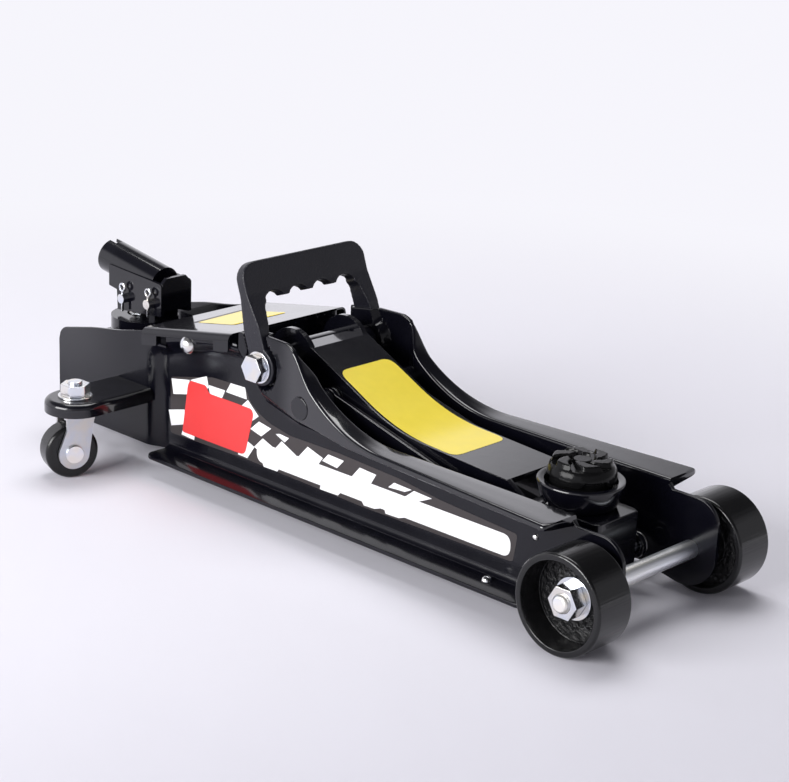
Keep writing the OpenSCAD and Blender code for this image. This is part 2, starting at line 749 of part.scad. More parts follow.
// Side view of the handle: a thin bar on legs that widen to their feet
module handle_profile() {
    top = grip_depth / 2;
    low = foot_depth / 2;
    polygon([
        [-low, leg_root - 1], [low, leg_root - 1], [low, leg_root + 8], [top, grip_low], [top, 2 * handle_l],
        [-top, 2 * handle_l], [-top, grip_low], [-low, leg_root + 8]
    ]);
}
module carry_handle() {
    color(plastic) place() difference() {
        union() {
            at(pivot) rotate([0, -handle_lean, 0]) {
                intersection() {
                    translate([foot_depth, 0, 0]) rotate([90, 0, -90]) linear_extrude(2 * foot_depth) handle_outline();
                    slab(-flange_y, flange_y) handle_profile();
                }
                both() translate([-foot_depth / 2, eye_in_y, 0]) cube([foot_depth, eye_t, leg_root + 1]);
            }
            both() rod(pivot, 2 * eye_r, eye_in_y, eye_out_y);
        }
        both() rod(pivot, bolt_d + 2 * bolt_fit, 0, flange_y);
    }
}

// Lift arm: a pressed channel with round ears on the main pivot and a crank below it
arm_in = arm_y - arm_t;
ridge = [pivot_x + 19, top_z - 11];
shelf_rear_x = pivot_x + 5;
arm_slope = 25.8;
arm_front = [saddle_pivot[0] - 18, saddle_pin_z + 22.5];
front_slope = 3.2;
bend_r = 150;
// Where the steep and the shallow stretch of the arm's top would meet
arm_drop = ridge[1] - arm_front[1] + (ridge[0] - arm_front[0]) * tan(front_slope);
meet_t = arm_drop / (tan(arm_slope) - tan(front_slope));
meet = ridge + meet_t * [1, -tan(arm_slope)];
bend_l = bend_r * tan((arm_slope - front_slope) / 2);
bend_c = meet + bend_l * [cos(front_slope), -sin(front_slope)] + bend_r * [sin(front_slope), cos(front_slope)];
function arm_line(depth) = concat(
    [ridge + depth * [-tan(arm_slope / 2), -1]],
    arc(bend_c, bend_r + depth, -90 - arm_slope, -90 - front_slope, 10),
    [arm_front - depth * [sin(front_slope), cos(front_slope)]]
);
crank_boss_r = 11;
saddle_boss_r = 10;
module arm_wall_outline() {
    translate(pivot) circle(r = ear_r);
    translate(crank) circle(r = crank_boss_r);
    translate(saddle_pivot) circle(r = saddle_boss_r);
    polygon(concat(
        [pivot + [-2, ridge[1] - pivot_z]],
        arm_line(0),
        [saddle_pivot + saddle_boss_r * [0.35, 0.93], saddle_pivot + saddle_boss_r * [-0.1, -0.99]],
        [pivot + [35, -38], crank + crank_boss_r * [0.5, -0.86], crank + crank_boss_r * [-0.82, 0.57]],
        [pivot + ear_r * [-0.82, 0.57]]
    ));
}
shelf_chamfer = 4;
hub_tube_t = 2.5;
module lift_arm() {
    color(paint) place() difference() {
        union() {
            both() slab(arm_in, arm_y) arm_wall_outline();
            slab(-arm_y, arm_y) polygon(concat(arm_line(0), [for (i = [12:-1:0]) arm_line(arm_t)[i]]));
            translate([0, 0, ridge[1] - arm_t]) linear_extrude(arm_t) polygon([
                [ridge[0], -arm_in], [ridge[0], arm_in], [shelf_rear_x + shelf_chamfer, arm_in],
                [shelf_rear_x, arm_in - shelf_chamfer], [shelf_rear_x, shelf_chamfer - arm_in],
                [shelf_rear_x + shelf_chamfer, -arm_in]
            ]);
            rod(pivot, pivot_d + 2 * hub_tube_t, -arm_in, arm_in);
        }
        rod(pivot, pivot_d + 2 * run_fit, -flange_y, flange_y);
        rod(crank, crank_pin_d + 2 * run_fit, -flange_y, flange_y);
        rod(saddle_pivot, saddle_pin_d + 2 * run_fit, -flange_y, flange_y);
    }
}
module crank_pin() { color(steel) place() rod(crank, crank_pin_d, -arm_y, arm_y); }
module crank_roller() {
    roller_y = arm_in - 2 * play;
    color(steel) place() difference() {
        rod(crank, roller_d, -roller_y, roller_y);
        rod(crank, crank_pin_d + 2 * run_fit, -roller_y - 1, roller_y + 1);
    }
}
module saddle_pin() { color(zinc) place() rod(saddle_pivot, saddle_pin_d, -arm_y - 0.5, arm_y + 0.5); }

// Saddle bracket that stays level on the end of the arm
bracket_y = arm_in - 2;
cheek_t = 4;
top_t = 3;
bracket_front_x = link_end[0] + 10;
module bracket_cheek_outline() {
    translate(saddle_pivot) circle(r = cup_z - saddle_pin_z);
    translate(link_end) circle(r = 9.5);
    polygon([
        saddle_pivot + [-5, cup_z - saddle_pin_z], [bracket_front_x, cup_z], [bracket_front_x, link_end[1] - 8],
        link_end + [0, -9.5], saddle_pivot + [-3, saddle_pin_z - cup_z]
    ]);
}
module saddle_bracket() {
    color(paint) place() difference() {
        union() {
            both() slab(bracket_y - cheek_t, bracket_y) bracket_cheek_outline();
            translate([saddle_pivot[0] - 5, -bracket_y, cup_z - top_t])
                cube([bracket_front_x - saddle_pivot[0] + 5, 2 * bracket_y, top_t]);
            translate([bracket_front_x - top_t, -bracket_y, link_end[1] - 8])
                cube([top_t, 2 * bracket_y, cup_z - link_end[1] + 8]);
        }
        rod(saddle_pivot, saddle_pin_d + 2 * run_fit, -flange_y, flange_y);
        rod(link_end, link_pin_d + 2 * run_fit, -flange_y, flange_y);
        post(saddle_x, 0, stem_d + 2 * run_fit, 0, 2 * cup_z);
    }
}
cup_floor = 6;
cup_neck = 4;
module saddle_cup() {
    r = cup_d / 2;
    bore = stem_d / 2 + run_fit;
    color(paint) place() translate([saddle_x, 0, cup_z]) rotate_extrude() polygon([
        [bore, 0], [r - 3, 0], [r - cup_neck, 2], [r - cup_neck, 5], [r, 8], [r, cup_h],
        [r - cup_t, cup_h], [r - cup_t, cup_floor], [bore, cup_floor]
    ]);
}
pad_floor_z = cup_z + cup_floor + play;
cup_top_z = cup_z + cup_h;
module saddle_pad() {
    teeth = 6;
    tooth_h = 5;
    tooth_w = 7;
    tooth_swirl = 35;
    tooth_in = 6;
    head_top = cup_top_z + pad_h - tooth_h;
    plug_r = pad_d / 2 - 1;
    skirt = 4;
    color(plastic) place() translate([saddle_x, 0, 0]) {
        rotate_extrude() polygon([
            [0, cup_z - 9], [stem_d / 2, cup_z - 9], [stem_d / 2, pad_floor_z], [plug_r, pad_floor_z],
            [plug_r, cup_top_z + play], [pad_d / 2, cup_top_z + play], [pad_d / 2, cup_top_z + play + skirt],
            [pad_d / 2 - 3, head_top], [0, head_top]
        ]);
        for (i = [0:teeth - 1]) rotate(i * 360 / teeth) translate([tooth_in, 0, head_top]) rotate(tooth_swirl)
            translate([0, -tooth_w / 2, -1]) cube([pad_d / 2 - tooth_in - 3, tooth_w, tooth_h + 1]);
        translate([0, 0, head_top - 1]) cylinder(d = 2 * tooth_in, h = tooth_h);
    }
}
module saddle_circlip() {
    clip_t = 1.5;
    color(steel) place() difference() {
        post(saddle_x, 0, stem_d + 8, cup_z - top_t - play - clip_t, cup_z - top_t - play);
        post(saddle_x, 0, stem_d + 2 * run_fit, 0, cup_z);
    }
}

// Levelling links, outside the arm's walls
link_in_y = arm_y + 2;
link_out_y = link_in_y + link_t;
clip_t = 1.2;
module link_studs() {
    color(paint) place() both() {
        rod(stud, link_pin_d, link_in_y - play - clip_t - 0.1, link_out_y + play);
        rod(stud, stud_d, link_out_y + play, lip_y(stud[0]) + 1.2);
    }
}
module clip_on(p, y0) {
    difference() {
        rod(p, link_pin_d + 6, y0, y0 + clip_t);
        rod(p, link_pin_d + 2 * run_fit, y0 - 1, y0 + clip_t + 1);
    }
}
module link_stud_clips() { color(steel) place() both() clip_on(stud, link_in_y - play - clip_t); }
module level_link() {
    difference() {
        slab(link_in_y, link_out_y) {
            d = link_end - stud;
            for (p = [stud, link_end]) translate(p) circle(d = link_w + 3);
            translate(stud) rotate(atan2(d[1], d[0])) translate([0, -link_w / 2]) square([norm(d), link_w]);
        }
        rod(stud, link_pin_d + 2 * run_fit, 0, flange_y);
        rod(link_end, link_pin_d + 4 * play, 0, flange_y);
    }
}
module level_link_left() { color(paint) place() level_link(); }
module level_link_right() { color(paint) place() side(-1) level_link(); }
link_pin_y = link_out_y + play + clip_t + 1.5;
module link_pin() { color(zinc) place() rod(link_end, link_pin_d, -link_pin_y, link_pin_y); }
module link_pin_clips() { color(steel) place() both() clip_on(link_end, link_out_y + play); }

// Hydraulic unit: pump block, reservoir, liner, gland and ram
lug_y = yoke_y - yoke_t - play;
lug_r = 7;
lug_neck = 0.5;
collar_z = yoke_z - 16;
spring_seat_z = block_z + 5;
plunger_low = block_floor + 33;
spindle_d = 8;
spindle_l = 10;
spindle_y = block_y / 2;
spindle_z = (block_floor + block_z) / 2;
collar_x = plunger_pin_at[0] + 4;
plunger_spring_d = 18;
module pump_block() {
    color(paint) place() difference() {
        union() {
            translate([block_x - block_l, -block_y, block_floor]) cube([block_l, 2 * block_y, block_z - block_floor]);
            post(collar_x, 0, collar_d, block_z - 1, collar_z);
            slab(-lug_y, lug_y) {
                translate(yoke) circle(r = lug_r);
                translate([yoke_x - lug_r, block_z - 1]) square([lug_r - lug_neck, yoke_z - block_z + 1]);
            }
        }
        rod(yoke, yoke_pin_d + 2 * run_fit, -flange_y, flange_y);
        post(plunger_pin_at[0], 0, plunger_d + 2 * run_fit, block_floor + 20, collar_z);
        post(plunger_pin_at[0], 0, plunger_spring_d + 3, spring_seat_z, collar_z + 30);
        at_spindle() translate([0, 0, -1]) cylinder(d = spindle_d + 2 * run_fit, h = spindle_l + 2);
        block_screw_places() post(0, 0, block_screw_d + 2 * bolt_fit, 0, block_floor + block_screw_l + 2);
    }
}
module at_spindle() { translate([block_x - block_l, spindle_y, spindle_z]) rotate([0, 90, 0]) children(); }
module release_spindle() {
    head_d = 12;
    head_l = 4;
    cross_w = 2;
    color(zinc) place() at_spindle() difference() {
        union() {
            translate([0, 0, -play]) cylinder(d = spindle_d, h = spindle_l);
            translate([0, 0, -play - head_l]) cylinder(d = head_d, h = head_l);
        }
        for (a = [0, 90]) rotate(a) translate([-head_d, -cross_w / 2, -play - head_l - 1]) cube([2 * head_d, cross_w, 3]);
    }
}
module tube_x(d, bore, x0, x1) {
    translate([x0, 0, ram_z]) rotate([0, 90, 0]) difference() {
        cylinder(d = d, h = x1 - x0);
        translate([0, 0, -1]) cylinder(d = bore, h = x1 - x0 + 2);
    }
}
plug_x = (block_x + reservoir_x) / 2;
plug_d = 10;
module reservoir() {
    color(paint) place() difference() {
        tube_x(reservoir_d, reservoir_d - 2 * reservoir_t, block_x, reservoir_x);
        post(plug_x, 0, plug_d + 2 * run_fit, ram_z, ram_z + reservoir_d);
    }
}
module cylinder_liner() { color(steel) place() tube_x(bore_d + 2 * liner_t, bore_d, block_x, reservoir_x); }
module gland() { color(steel) place() tube_x(reservoir_d - 4, ram_d + 2 * run_fit, reservoir_x, reservoir_x + gland_t); }
module filler_plug() {
    reservoir_top = ram_z + reservoir_d / 2;
    color(plastic) place() {
        post(plug_x, 0, plug_d, reservoir_top - reservoir_t, reservoir_top + play);
        post(plug_x, 0, plug_d + 5, reservoir_top + play, reservoir_top + 4);
    }
}
piston_l = 11;
ram_rear_x = block_x + 9;
module ram_rod() {
    color(steel) place() translate([ram_rear_x, 0, ram_z]) rotate([0, 90, 0]) {
        cylinder(d = ram_d, h = ram_back_x - ram_rear_x);
        cylinder(d = bore_d - 2 * run_fit, h = piston_l);
    }
}
// The return springs run midway between the reservoir and the side plates
spring_y = (web_in + reservoir_d / 2) / 2;
head_y = 18;
head_half_h = 17;
ear_h = 10;
ear_t = 6;
module ram_head() {
    color(paint) place() union() {
        translate([ram_back_x, -head_y, ram_z - head_half_h]) cube([head_t, 2 * head_y, 2 * head_half_h]);
        translate([ram_back_x, -spring_y - spring_d / 2, spring_z - ear_h / 2])
            cube([ear_t, 2 * spring_y + spring_d, ear_h]);
    }
}

// A coil spring along an axis: its points, then one unbroken tube through them
wire_sides = 6;
rings = 8;
function coil_angle(i) = 360 * i / rings;
function coil_out(i) = [0, cos(coil_angle(i)), sin(coil_angle(i))];
function coil(length, coil_r, wire, curls) = let (n = curls * rings, run = 2 * wire) concat(
    [[[0, 0, 0] + coil_r * coil_out(0), coil_out(0)], [[wire, 0, 0] + coil_r * coil_out(0), coil_out(0)]],
    [for (i = [1:n - 1]) [[run + (length - 2 * run) * i / n, 0, 0] + coil_r * coil_out(i), coil_out(i)]],
    [[[length - wire, 0, 0] + coil_r * coil_out(0), coil_out(0)], [[length, 0, 0] + coil_r * coil_out(0), coil_out(0)]]
);
function heading(path, i) = let (d = path[min(i + 1, len(path) - 1)][0] - path[max(i - 1, 0)][0]) d / norm(d);
function wire_ring(path, i, r) = let (
    t = heading(path, i),
    a = path[i][1] - (path[i][1] * t) * t,
    u = a / norm(a),
    v = cross(t, u)
) [for (k = [0:wire_sides - 1]) let (c = polar(r, 360 * k / wire_sides)) path[i][0] + c[0] * u + c[1] * v];
module coil_spring(length, coil_r, wire, curls) {
    path = coil(length, coil_r, wire, curls);
    n = len(path);
    s = wire_sides;
    least = min([for (i = [0:n - 1 - rings]) norm(path[i + rings][0] - path[i][0])]) - wire;
    echo("least gap of a spring to itself", least);
    points = [for (i = [0:n - 1]) each wire_ring(path, i, wire / 2)];
    walls = [for (i = [0:n - 2], k = [0:s - 1]) let (a = i * s + k, b = i * s + (k + 1) % s)
        each [[a, b + s, b], [a, a + s, b + s]]];
    caps = [for (k = [1:s - 2]) each [[0, k, k + 1], [(n - 1) * s, (n - 1) * s + k + 1, (n - 1) * s + k]]];
    polyhedron(points, concat(walls, caps));
}
module return_spring() {
    translate([block_x, spring_y, spring_z])
        coil_spring(ram_back_x - block_x, (spring_d - spring_wire) / 2, spring_wire, spring_curls);
}
module return_spring_left() { color(steel) place() return_spring(); }
module return_spring_right() { color(steel) place() side(-1) return_spring(); }

// Handle socket on its yoke, with the two pins that carry it and drive the plunger
pin_end_y = yoke_y + 5.5;
pin_head_t = 2.5;
module clevis_pin(p) {
    rod(p, yoke_pin_d, -pin_end_y, yoke_y + pin_head_t);
    rod(p, yoke_pin_d + 4, yoke_y + play, yoke_y + play + pin_head_t);
}
split_d = 2;
split_y = -yoke_y - 3.5;
split_l = 19;
module split_pin(p) {
    translate([p[0], split_y, p[1] - split_l / 2]) cylinder(d = split_d, h = split_l - 3);
    translate([p[0], split_y, p[1] + split_l / 2 - 1]) rotate([90, 0, 0]) rotate_extrude()
        translate([2.6, 0]) circle(d = split_d);
}
module clevis_with_hole(p) {
    difference() {
        clevis_pin(p);
        translate([p[0], split_y, p[1] - split_l]) cylinder(d = split_d + 2 * run_fit, h = 2 * split_l);
    }
}
module yoke_pin() { color(zinc) place() clevis_with_hole(yoke); }
module yoke_pin_clip() { color(zinc) place() split_pin(yoke); }
module plunger_pin() { color(zinc) place() clevis_with_hole(plunger_pin_at); }
module plunger_pin_clip() { color(zinc) place() split_pin(plunger_pin_at); }
cheek_front = 10.5;
cheek_rear = 39;
lobe_l = 10;
yoke_front_t = 3;
yoke_front_low = 4.5;
yoke_front_h = 20;
module cheek_outline() {
    rear = -cheek_rear;
    polygon([for (p = [
        [rear - lobe_l, 19.5], [rear - lobe_l, 3.5], [rear - 1, 2], [rear, -13], [cheek_front, -8],
        [cheek_front, 14.5], [cheek_front - 1.5, 16], [-4, 17]
    ]) yoke + p]);
}
module in_socket_line() {
    translate([socket_front[0], 0, socket_front[1]]) rotate([0, -90 + socket_rise, 0]) children();
}
module socket_yoke() {
    corner = 4;
    half = yoke_y - yoke_t / 2;
    color(paint) place() difference() {
        union() {
            both() slab(yoke_y - yoke_t, yoke_y) cheek_outline();
            translate([yoke_x + cheek_front, 0, yoke_z]) rotate([90, 0, -90]) linear_extrude(yoke_front_t) polygon([
                [-half, -yoke_front_low], [half, -yoke_front_low], [half, yoke_front_h - corner],
                [half - corner, yoke_front_h], [corner - half, yoke_front_h], [-half, yoke_front_h - corner]
            ]);
        }
        in_socket_line() translate([0, 0, -yoke_front_t / 2]) cylinder(d = socket_d + 2 * run_fit, h = 2 * socket_l);
        rod(yoke, yoke_pin_d + 2 * run_fit, -flange_y, flange_y);
        rod(plunger_pin_at, yoke_pin_d + 2 * run_fit, -flange_y, flange_y);
    }
}
module handle_socket() {
    key_w = 6;
    key_l = 7;
    color(paint) place() difference() {
        in_socket_line() difference() {
            cylinder(d = socket_d, h = socket_l);
            translate([0, 0, socket_l - socket_depth]) cylinder(d = socket_bore, h = 2 * socket_depth);
            translate([0, -key_w / 2, socket_l - key_l]) cube([socket_d, key_w, 2 * key_l]);
        }
        rod(yoke, 2 * lug_r + 4 * play, -yoke_y, yoke_y);
    }
}

// Pump plunger under the plunger pin, pushed up by its spring
plunger_head_z = plunger_pin_at[1] - yoke_pin_d / 2 - play;
plunger_head_t = 5;
module pump_plunger() {
    color(steel) place() {
        post(plunger_pin_at[0], 0, plunger_d, plunger_low, plunger_head_z - 1);
        post(plunger_pin_at[0], 0, plunger_spring_d, plunger_head_z - plunger_head_t, plunger_head_z);
    }
}
plunger_spring_wire = 1.8;
plunger_curls = 3;
module plunger_spring() {
    length = plunger_head_z - plunger_head_t - spring_seat_z;
    color(steel) place() translate([plunger_pin_at[0], 0, spring_seat_z]) rotate([0, -90, 0])
        coil_spring(length, (plunger_spring_d - plunger_spring_wire) / 2, plunger_spring_wire, plunger_curls);
}

side_plate_left();
side_plate_right();
base_plate();
top_cover();
cover_screws();
front_axle();
axle_spacers();
axle_washers();
axle_nuts();
front_wheel_left();
front_wheel_right();
caster_bracket_left();
caster_bracket_right();
caster_stems();
caster_nuts();
caster_fork_left();
caster_fork_right();
caster_axle_left();
caster_axle_right();
caster_wheel_left();
caster_wheel_right();
pivot_shaft();
handle_bolts();
handle_washers();
carry_handle();
lift_arm();
crank_pin();
crank_roller();
saddle_pin();
saddle_bracket();
saddle_cup();
link_pin();
link_pin_clips();
saddle_pad();
saddle_circlip();
link_studs();
link_stud_clips();
level_link_left();
level_link_right();
pump_block();
block_screws();
cylinder_liner();
reservoir();
gland();
filler_plug();
release_spindle();
ram_rod();
ram_head();
return_spring_left();
return_spring_right();
yoke_pin();
yoke_pin_clip();
socket_yoke();
handle_socket();
plunger_pin();
plunger_pin_clip();
pump_plunger();
plunger_spring();
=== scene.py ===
import math

import bmesh
import bpy
import numpy as np
from mathutils import Matrix, Vector


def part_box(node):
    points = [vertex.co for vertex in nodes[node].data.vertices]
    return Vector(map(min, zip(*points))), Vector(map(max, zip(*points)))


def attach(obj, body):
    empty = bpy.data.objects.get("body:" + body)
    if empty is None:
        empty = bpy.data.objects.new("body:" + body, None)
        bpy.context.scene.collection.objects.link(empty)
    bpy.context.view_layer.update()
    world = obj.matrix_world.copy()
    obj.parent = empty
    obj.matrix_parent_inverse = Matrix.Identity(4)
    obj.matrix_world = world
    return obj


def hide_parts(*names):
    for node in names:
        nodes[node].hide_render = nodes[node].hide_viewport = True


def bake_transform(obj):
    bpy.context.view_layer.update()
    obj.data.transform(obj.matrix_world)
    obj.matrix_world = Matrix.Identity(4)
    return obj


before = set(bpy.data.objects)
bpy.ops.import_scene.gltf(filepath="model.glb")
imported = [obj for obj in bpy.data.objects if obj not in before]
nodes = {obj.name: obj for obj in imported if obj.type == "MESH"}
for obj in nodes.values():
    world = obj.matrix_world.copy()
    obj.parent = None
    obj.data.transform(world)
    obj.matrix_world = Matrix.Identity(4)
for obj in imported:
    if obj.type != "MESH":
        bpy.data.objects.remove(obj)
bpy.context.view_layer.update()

# Pressed side plates: 3 mm steel in gloss black. Each is lofted along the jack as one sheet section,
# with a soft step round the sunk web, a flared lip under the rolled top flange and a turned-out foot.
# The two are mirror images and are fixed to the axle, the pivot shaft and the base plate.
axle_lo, axle_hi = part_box("front_axle")
AXLE_X = (axle_lo.x + axle_hi.x) / 2


class Sock:
    """A shader socket: arithmetic with sockets and numbers adds math nodes to its tree."""

    def __init__(self, tree, out):
        self.tree, self.out = tree, out

    def node(self, kind, links, give=0, **settings):
        """Adds any node and gives one of its outputs: settings are its properties, links its inputs."""
        made = self.tree.nodes.new("ShaderNode" + kind)
        for key, value in settings.items():
            setattr(made, key, value)
        for key, value in links.items():
            if isinstance(value, Sock):
                self.tree.links.new(value.out, made.inputs[key])
            else:
                made.inputs[key].default_value = value
        return Sock(self.tree, made.outputs[give])

    def math(self, operation, *others):
        return self.node("Math", dict(enumerate((self, *others))), operation=operation)

    def __add__(self, other):
        return self.math("ADD", other)

    def __sub__(self, other):
        return self.math("SUBTRACT", other)

    def __mul__(self, other):
        return self.math("MULTIPLY", other)

    def __rsub__(self, other):
        return self * -1 + other

    __radd__, __rmul__ = __add__, __mul__

    def ramp(self, low, high):
        """0 below low and 1 above high, smooth between them."""
        return self.node("MapRange", {0: self, 1: low, 2: high}, interpolation_type="SMOOTHSTEP")

    def noise(self, scale, detail=2.0):
        return self.node("TexNoise", {"Vector": self, "Scale": scale, "Detail": detail})

    def mix(self, first, second):
        return self.node("Mix", {0: self, 6: first, 7: second}, give=2, data_type="RGBA")


def material(name):
    """A new material: itself, its shader and its object coordinates."""
    made = bpy.data.materials.new(name)
    made.use_nodes = True
    tree = made.node_tree
    place = Sock(tree, tree.nodes.new("ShaderNodeTexCoord").outputs["Object"])
    return made, tree.nodes["Principled BSDF"], place


def plug(shader, **inputs):
    """Sets or links a shader's inputs, whose names are written with _ for a space."""
    for key, value in inputs.items():
        socket = shader.inputs[key.replace("_", " ")]
        if isinstance(value, Sock):
            value.tree.links.new(value.out, socket)
        else:
            socket.default_value = value


def bump(height, distance, strength=1.0):
    return height.node("Bump", {"Height": height, "Distance": distance, "Strength": strength})


def black_paint(name, coat):
    """Gloss black paint: a faint orange peel and a thin uneven film of dust under a clear coat."""
    made, shader, place = material(name)
    dust = place.noise(26, 5.0).ramp(0.42, 0.8)
    plug(
        shader,
        Base_Color=dust.mix((0.0028, 0.0028, 0.0055, 1), (0.0058, 0.0058, 0.0092, 1)),
        Roughness=place.noise(60, 3.0) * 0.06 + dust * 0.05 + 0.13,
        Normal=bump(place.noise(310, 2.0) + place.noise(85, 1.0) * 2.0, 0.00016, 0.2),
        Coat_Weight=coat(place),
        Coat_Roughness=0.05,
        Specular_IOR_Level=0.3,
    )
    return made


def plate_coat(place):
    """The tail and the flange shine; the sunk web, sprayed thinly between them, is duller."""
    along = place.node("SeparateXYZ", {0: place})
    across, height = (Sock(along.tree, along.out.node.outputs[i]) for i in (1, 2))
    tail = (1 - along.ramp(AXLE_X - 0.5, AXLE_X - 0.41)) * height.ramp(0.02, 0.09) * 0.7
    flange = height.ramp(0.066, 0.071) * along.ramp(AXLE_X - 0.27, AXLE_X - 0.25)
    return tail + flange * (0.85 - across.ramp(0.0, 0.04) * 0.4) + 0.06


PLATE_PAINT = black_paint("plate_paint", plate_coat)
PAINT = black_paint("gloss_black_paint", lambda place: place.noise(12, 2.0) * 0.2 + 0.45)


def mesh_object(name, verts, faces, body, paint, replaced=(), sharp=38.0):
    """A piece from points in metres: welded, smooth but for edges sharper than that many degrees."""
    data = bpy.data.meshes.new(name)
    data.from_pydata([tuple(map(float, v)) for v in verts], [], faces)
    made = bpy.data.objects.new(name, data)
    bpy.context.scene.collection.objects.link(made)
    shape = bmesh.new()
    shape.from_mesh(data)
    bmesh.ops.remove_doubles(shape, verts=shape.verts, dist=2e-6)
    bmesh.ops.dissolve_degenerate(shape, edges=shape.edges, dist=1e-6)
    bmesh.ops.recalc_face_normals(shape, faces=shape.faces)
    for edge in shape.edges:
        edge.smooth = edge.calc_face_angle(math.pi) < math.radians(sharp)
    for face in shape.faces:
        face.smooth = True
    shape.to_mesh(data)
    shape.free()
    data.materials.append(paint)
    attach(made, body)
    if replaced:
        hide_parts(*replaced)


def metres(points, flip=1):
    """Points in millimetres from the ground under the front axle, flip -1 for the right-hand side."""
    p = np.asarray(points, float) * 0.001
    return p * (1, flip, 1) + (AXLE_X, 0, 0)


def ease(t):
    """A smooth step from 0 to 1."""
    t = np.clip(t, 0, 1)
    return t * t * (3 - 2 * t)


def loft(loops):
    """Quads between closed loops of points of one length, with both ends capped."""
    n = len(loops[0])
    faces = [
        (i * n + k, i * n + (k + 1) % n, (i + 1) * n + (k + 1) % n, (i + 1) * n + k)
        for i in range(len(loops) - 1)
        for k in range(n)
    ]
    last = (len(loops) - 1) * n
    return np.concatenate(loops), [*faces, tuple(range(n))[::-1], tuple(range(last, last + n))]


# sizes in millimetres, with x from the front axle
PLATE, EDGE, WEB_Y, BAND_Y, FLANGE_Y, FOOT_Y = 3.0, 0.8, 49.0, 55.0, 76.0, 72.0
WEB_START, WEB_RUN, WEB_BASE, FLAT_RUN = -404.0, 19.0, 20.5, 14.0
FOOT, FOOT_Z, FOOT_ROUND, FOOT_FILLET = (-385.0, -37.0), 12.5, 6.0, 5.0
PIVOT_X, PIVOT_Z, FLANGE_Z, TOP_Z = -285.0, 101.0, 73.0, 123.2
SWEEP_X, SWEEP_R, FLANGE_END, FLANGE_ROUND = -165.0, 112.0, -20.0, 3.5
TAIL_X, TAIL_TOP, TAIL_SLOPE, TAIL_ROUND, TAIL_LOW = -503.0, 78.0, 0.2255, 10.0, 13.5
DIP_START, DIP_RUN, DIP = -470.0, 40.0, 2.0
NOSE_X, NOSE_Z, NOSE_R, NOSE_CORNER, NOSE_TOP, NOSE_BACK = -5.5, 31.0, 24.5, 17.0, 66.5, 4.25
POCKET_R, POCKET_WALL, LEG_HALF, LEG_LEAN = 14.3, 1.8, 9.2, math.radians(20)
COVER, COVER_Z, COVER_RISE, COVER_FLAT, COVER_R = (-407.5, -317.0), 99.9, 0.178, 51.4, 5.0
COVER_SIDE = COVER_FLAT + COVER_R
SLOTS = ((-391.5, -382.5, 92.0), (-317.0, -308.0, 108.0))
TOP_CORNER, CORNER_RUN, CORNER_DROP, SWEEP_BACK = -253.0, 9.0, 3.2, -236.0
FLARE = (FLANGE_Y - BAND_Y) / (FLANGE_END - PIVOT_X)
# curves along the plate as (x, value): the edge over and ahead of the pivot, and the step round the web
CREST = ((SLOTS[1][1], 119.6), (PIVOT_X, TOP_Z))
SHOULDER = (
    (TOP_CORNER, TOP_Z - CORNER_DROP), (-250.0, 117.0), (-246.6, 112.4), (-241.5, 104.9), (SWEEP_BACK, 98.1),
)
STEP_MIDDLE = (
    (-399, 84.5), (-388, 88.5), (-371, 93.5), (-338, 101), (-308, 103.5), (-285, 79), (-252, 71),
    (-200, 67.2), (-20, 67.6),
)
STEP_HALF = ((-388, 5.5), (-338, 4.0), (-285, 5.0), (-252, 4.5), (-190, 2.0))


def between(points, x):
    """The value at x on the straights between (x, value) points."""
    return float(np.interp(x, *zip(*points)))


def top_edge(x):
    """Height of the straight top edge of the tail at x."""
    return TAIL_TOP + (x - TAIL_X) * TAIL_SLOPE


def cover_top(x, y):
    """Height of the cover at a point: a rising plane that is rolled down along both sides."""
    out = min(COVER_R, max(0.0, abs(y) - COVER_FLAT))
    return COVER_Z + (x - COVER[0]) * COVER_RISE - COVER_R + math.sqrt(COVER_R**2 - out * out)


def plate_top(x, after):
    """Height of the plate at x, just after it or just before it."""
    x += 1e-4 if after else -1e-4
    round_x = TAIL_X + TAIL_ROUND
    if x < round_x:
        return top_edge(round_x) - TAIL_ROUND - 0.2 + math.sqrt(max(0.0, TAIL_ROUND**2 - (x - round_x) ** 2))
    for start, end, floor in SLOTS:
        if start < x < end:
            return floor
    if COVER[0] < x < COVER[1]:
        return cover_top(x, COVER_SIDE) - 0.2
    if x < COVER[1]:
        return top_edge(x) - DIP * float(ease((x - DIP_START) / DIP_RUN))
    if x < TOP_CORNER:
        return between(CREST, x) - CORNER_DROP * max(0.0, (x - TOP_CORNER + CORNER_RUN) / CORNER_RUN) ** 2
    if x < SWEEP_BACK:
        return between(SHOULDER, x)
    if x < SWEEP_X:
        return FLANGE_Z + SWEEP_R - math.sqrt(SWEEP_R**2 - (x - SWEEP_X) ** 2)
    if x < FLANGE_END:
        return FLANGE_Z
    corner_x = NOSE_X + NOSE_R - NOSE_CORNER
    if x < corner_x:
        return between(((FLANGE_END, FLANGE_Z - PLATE), (FLANGE_END + PLATE, NOSE_TOP)), x)
    return NOSE_TOP - NOSE_CORNER + math.sqrt(max(0.0, NOSE_CORNER**2 - (x - corner_x) ** 2))


def plate_low(x):
    """Height of the plate's lower edge at x, which drops ahead of the foot and rounds up at the nose."""
    if x < FOOT[1]:
        return FOOT_Z if x > FOOT[0] else TAIL_LOW
    nose = lambda x: NOSE_Z - math.sqrt(max(0.0, NOSE_R**2 - (x - NOSE_X) ** 2))
    nose_start = NOSE_X - NOSE_BACK
    if x < nose_start:
        return between(((FOOT[1], FOOT_Z), (nose_start, nose(nose_start))), x)
    return nose(x)


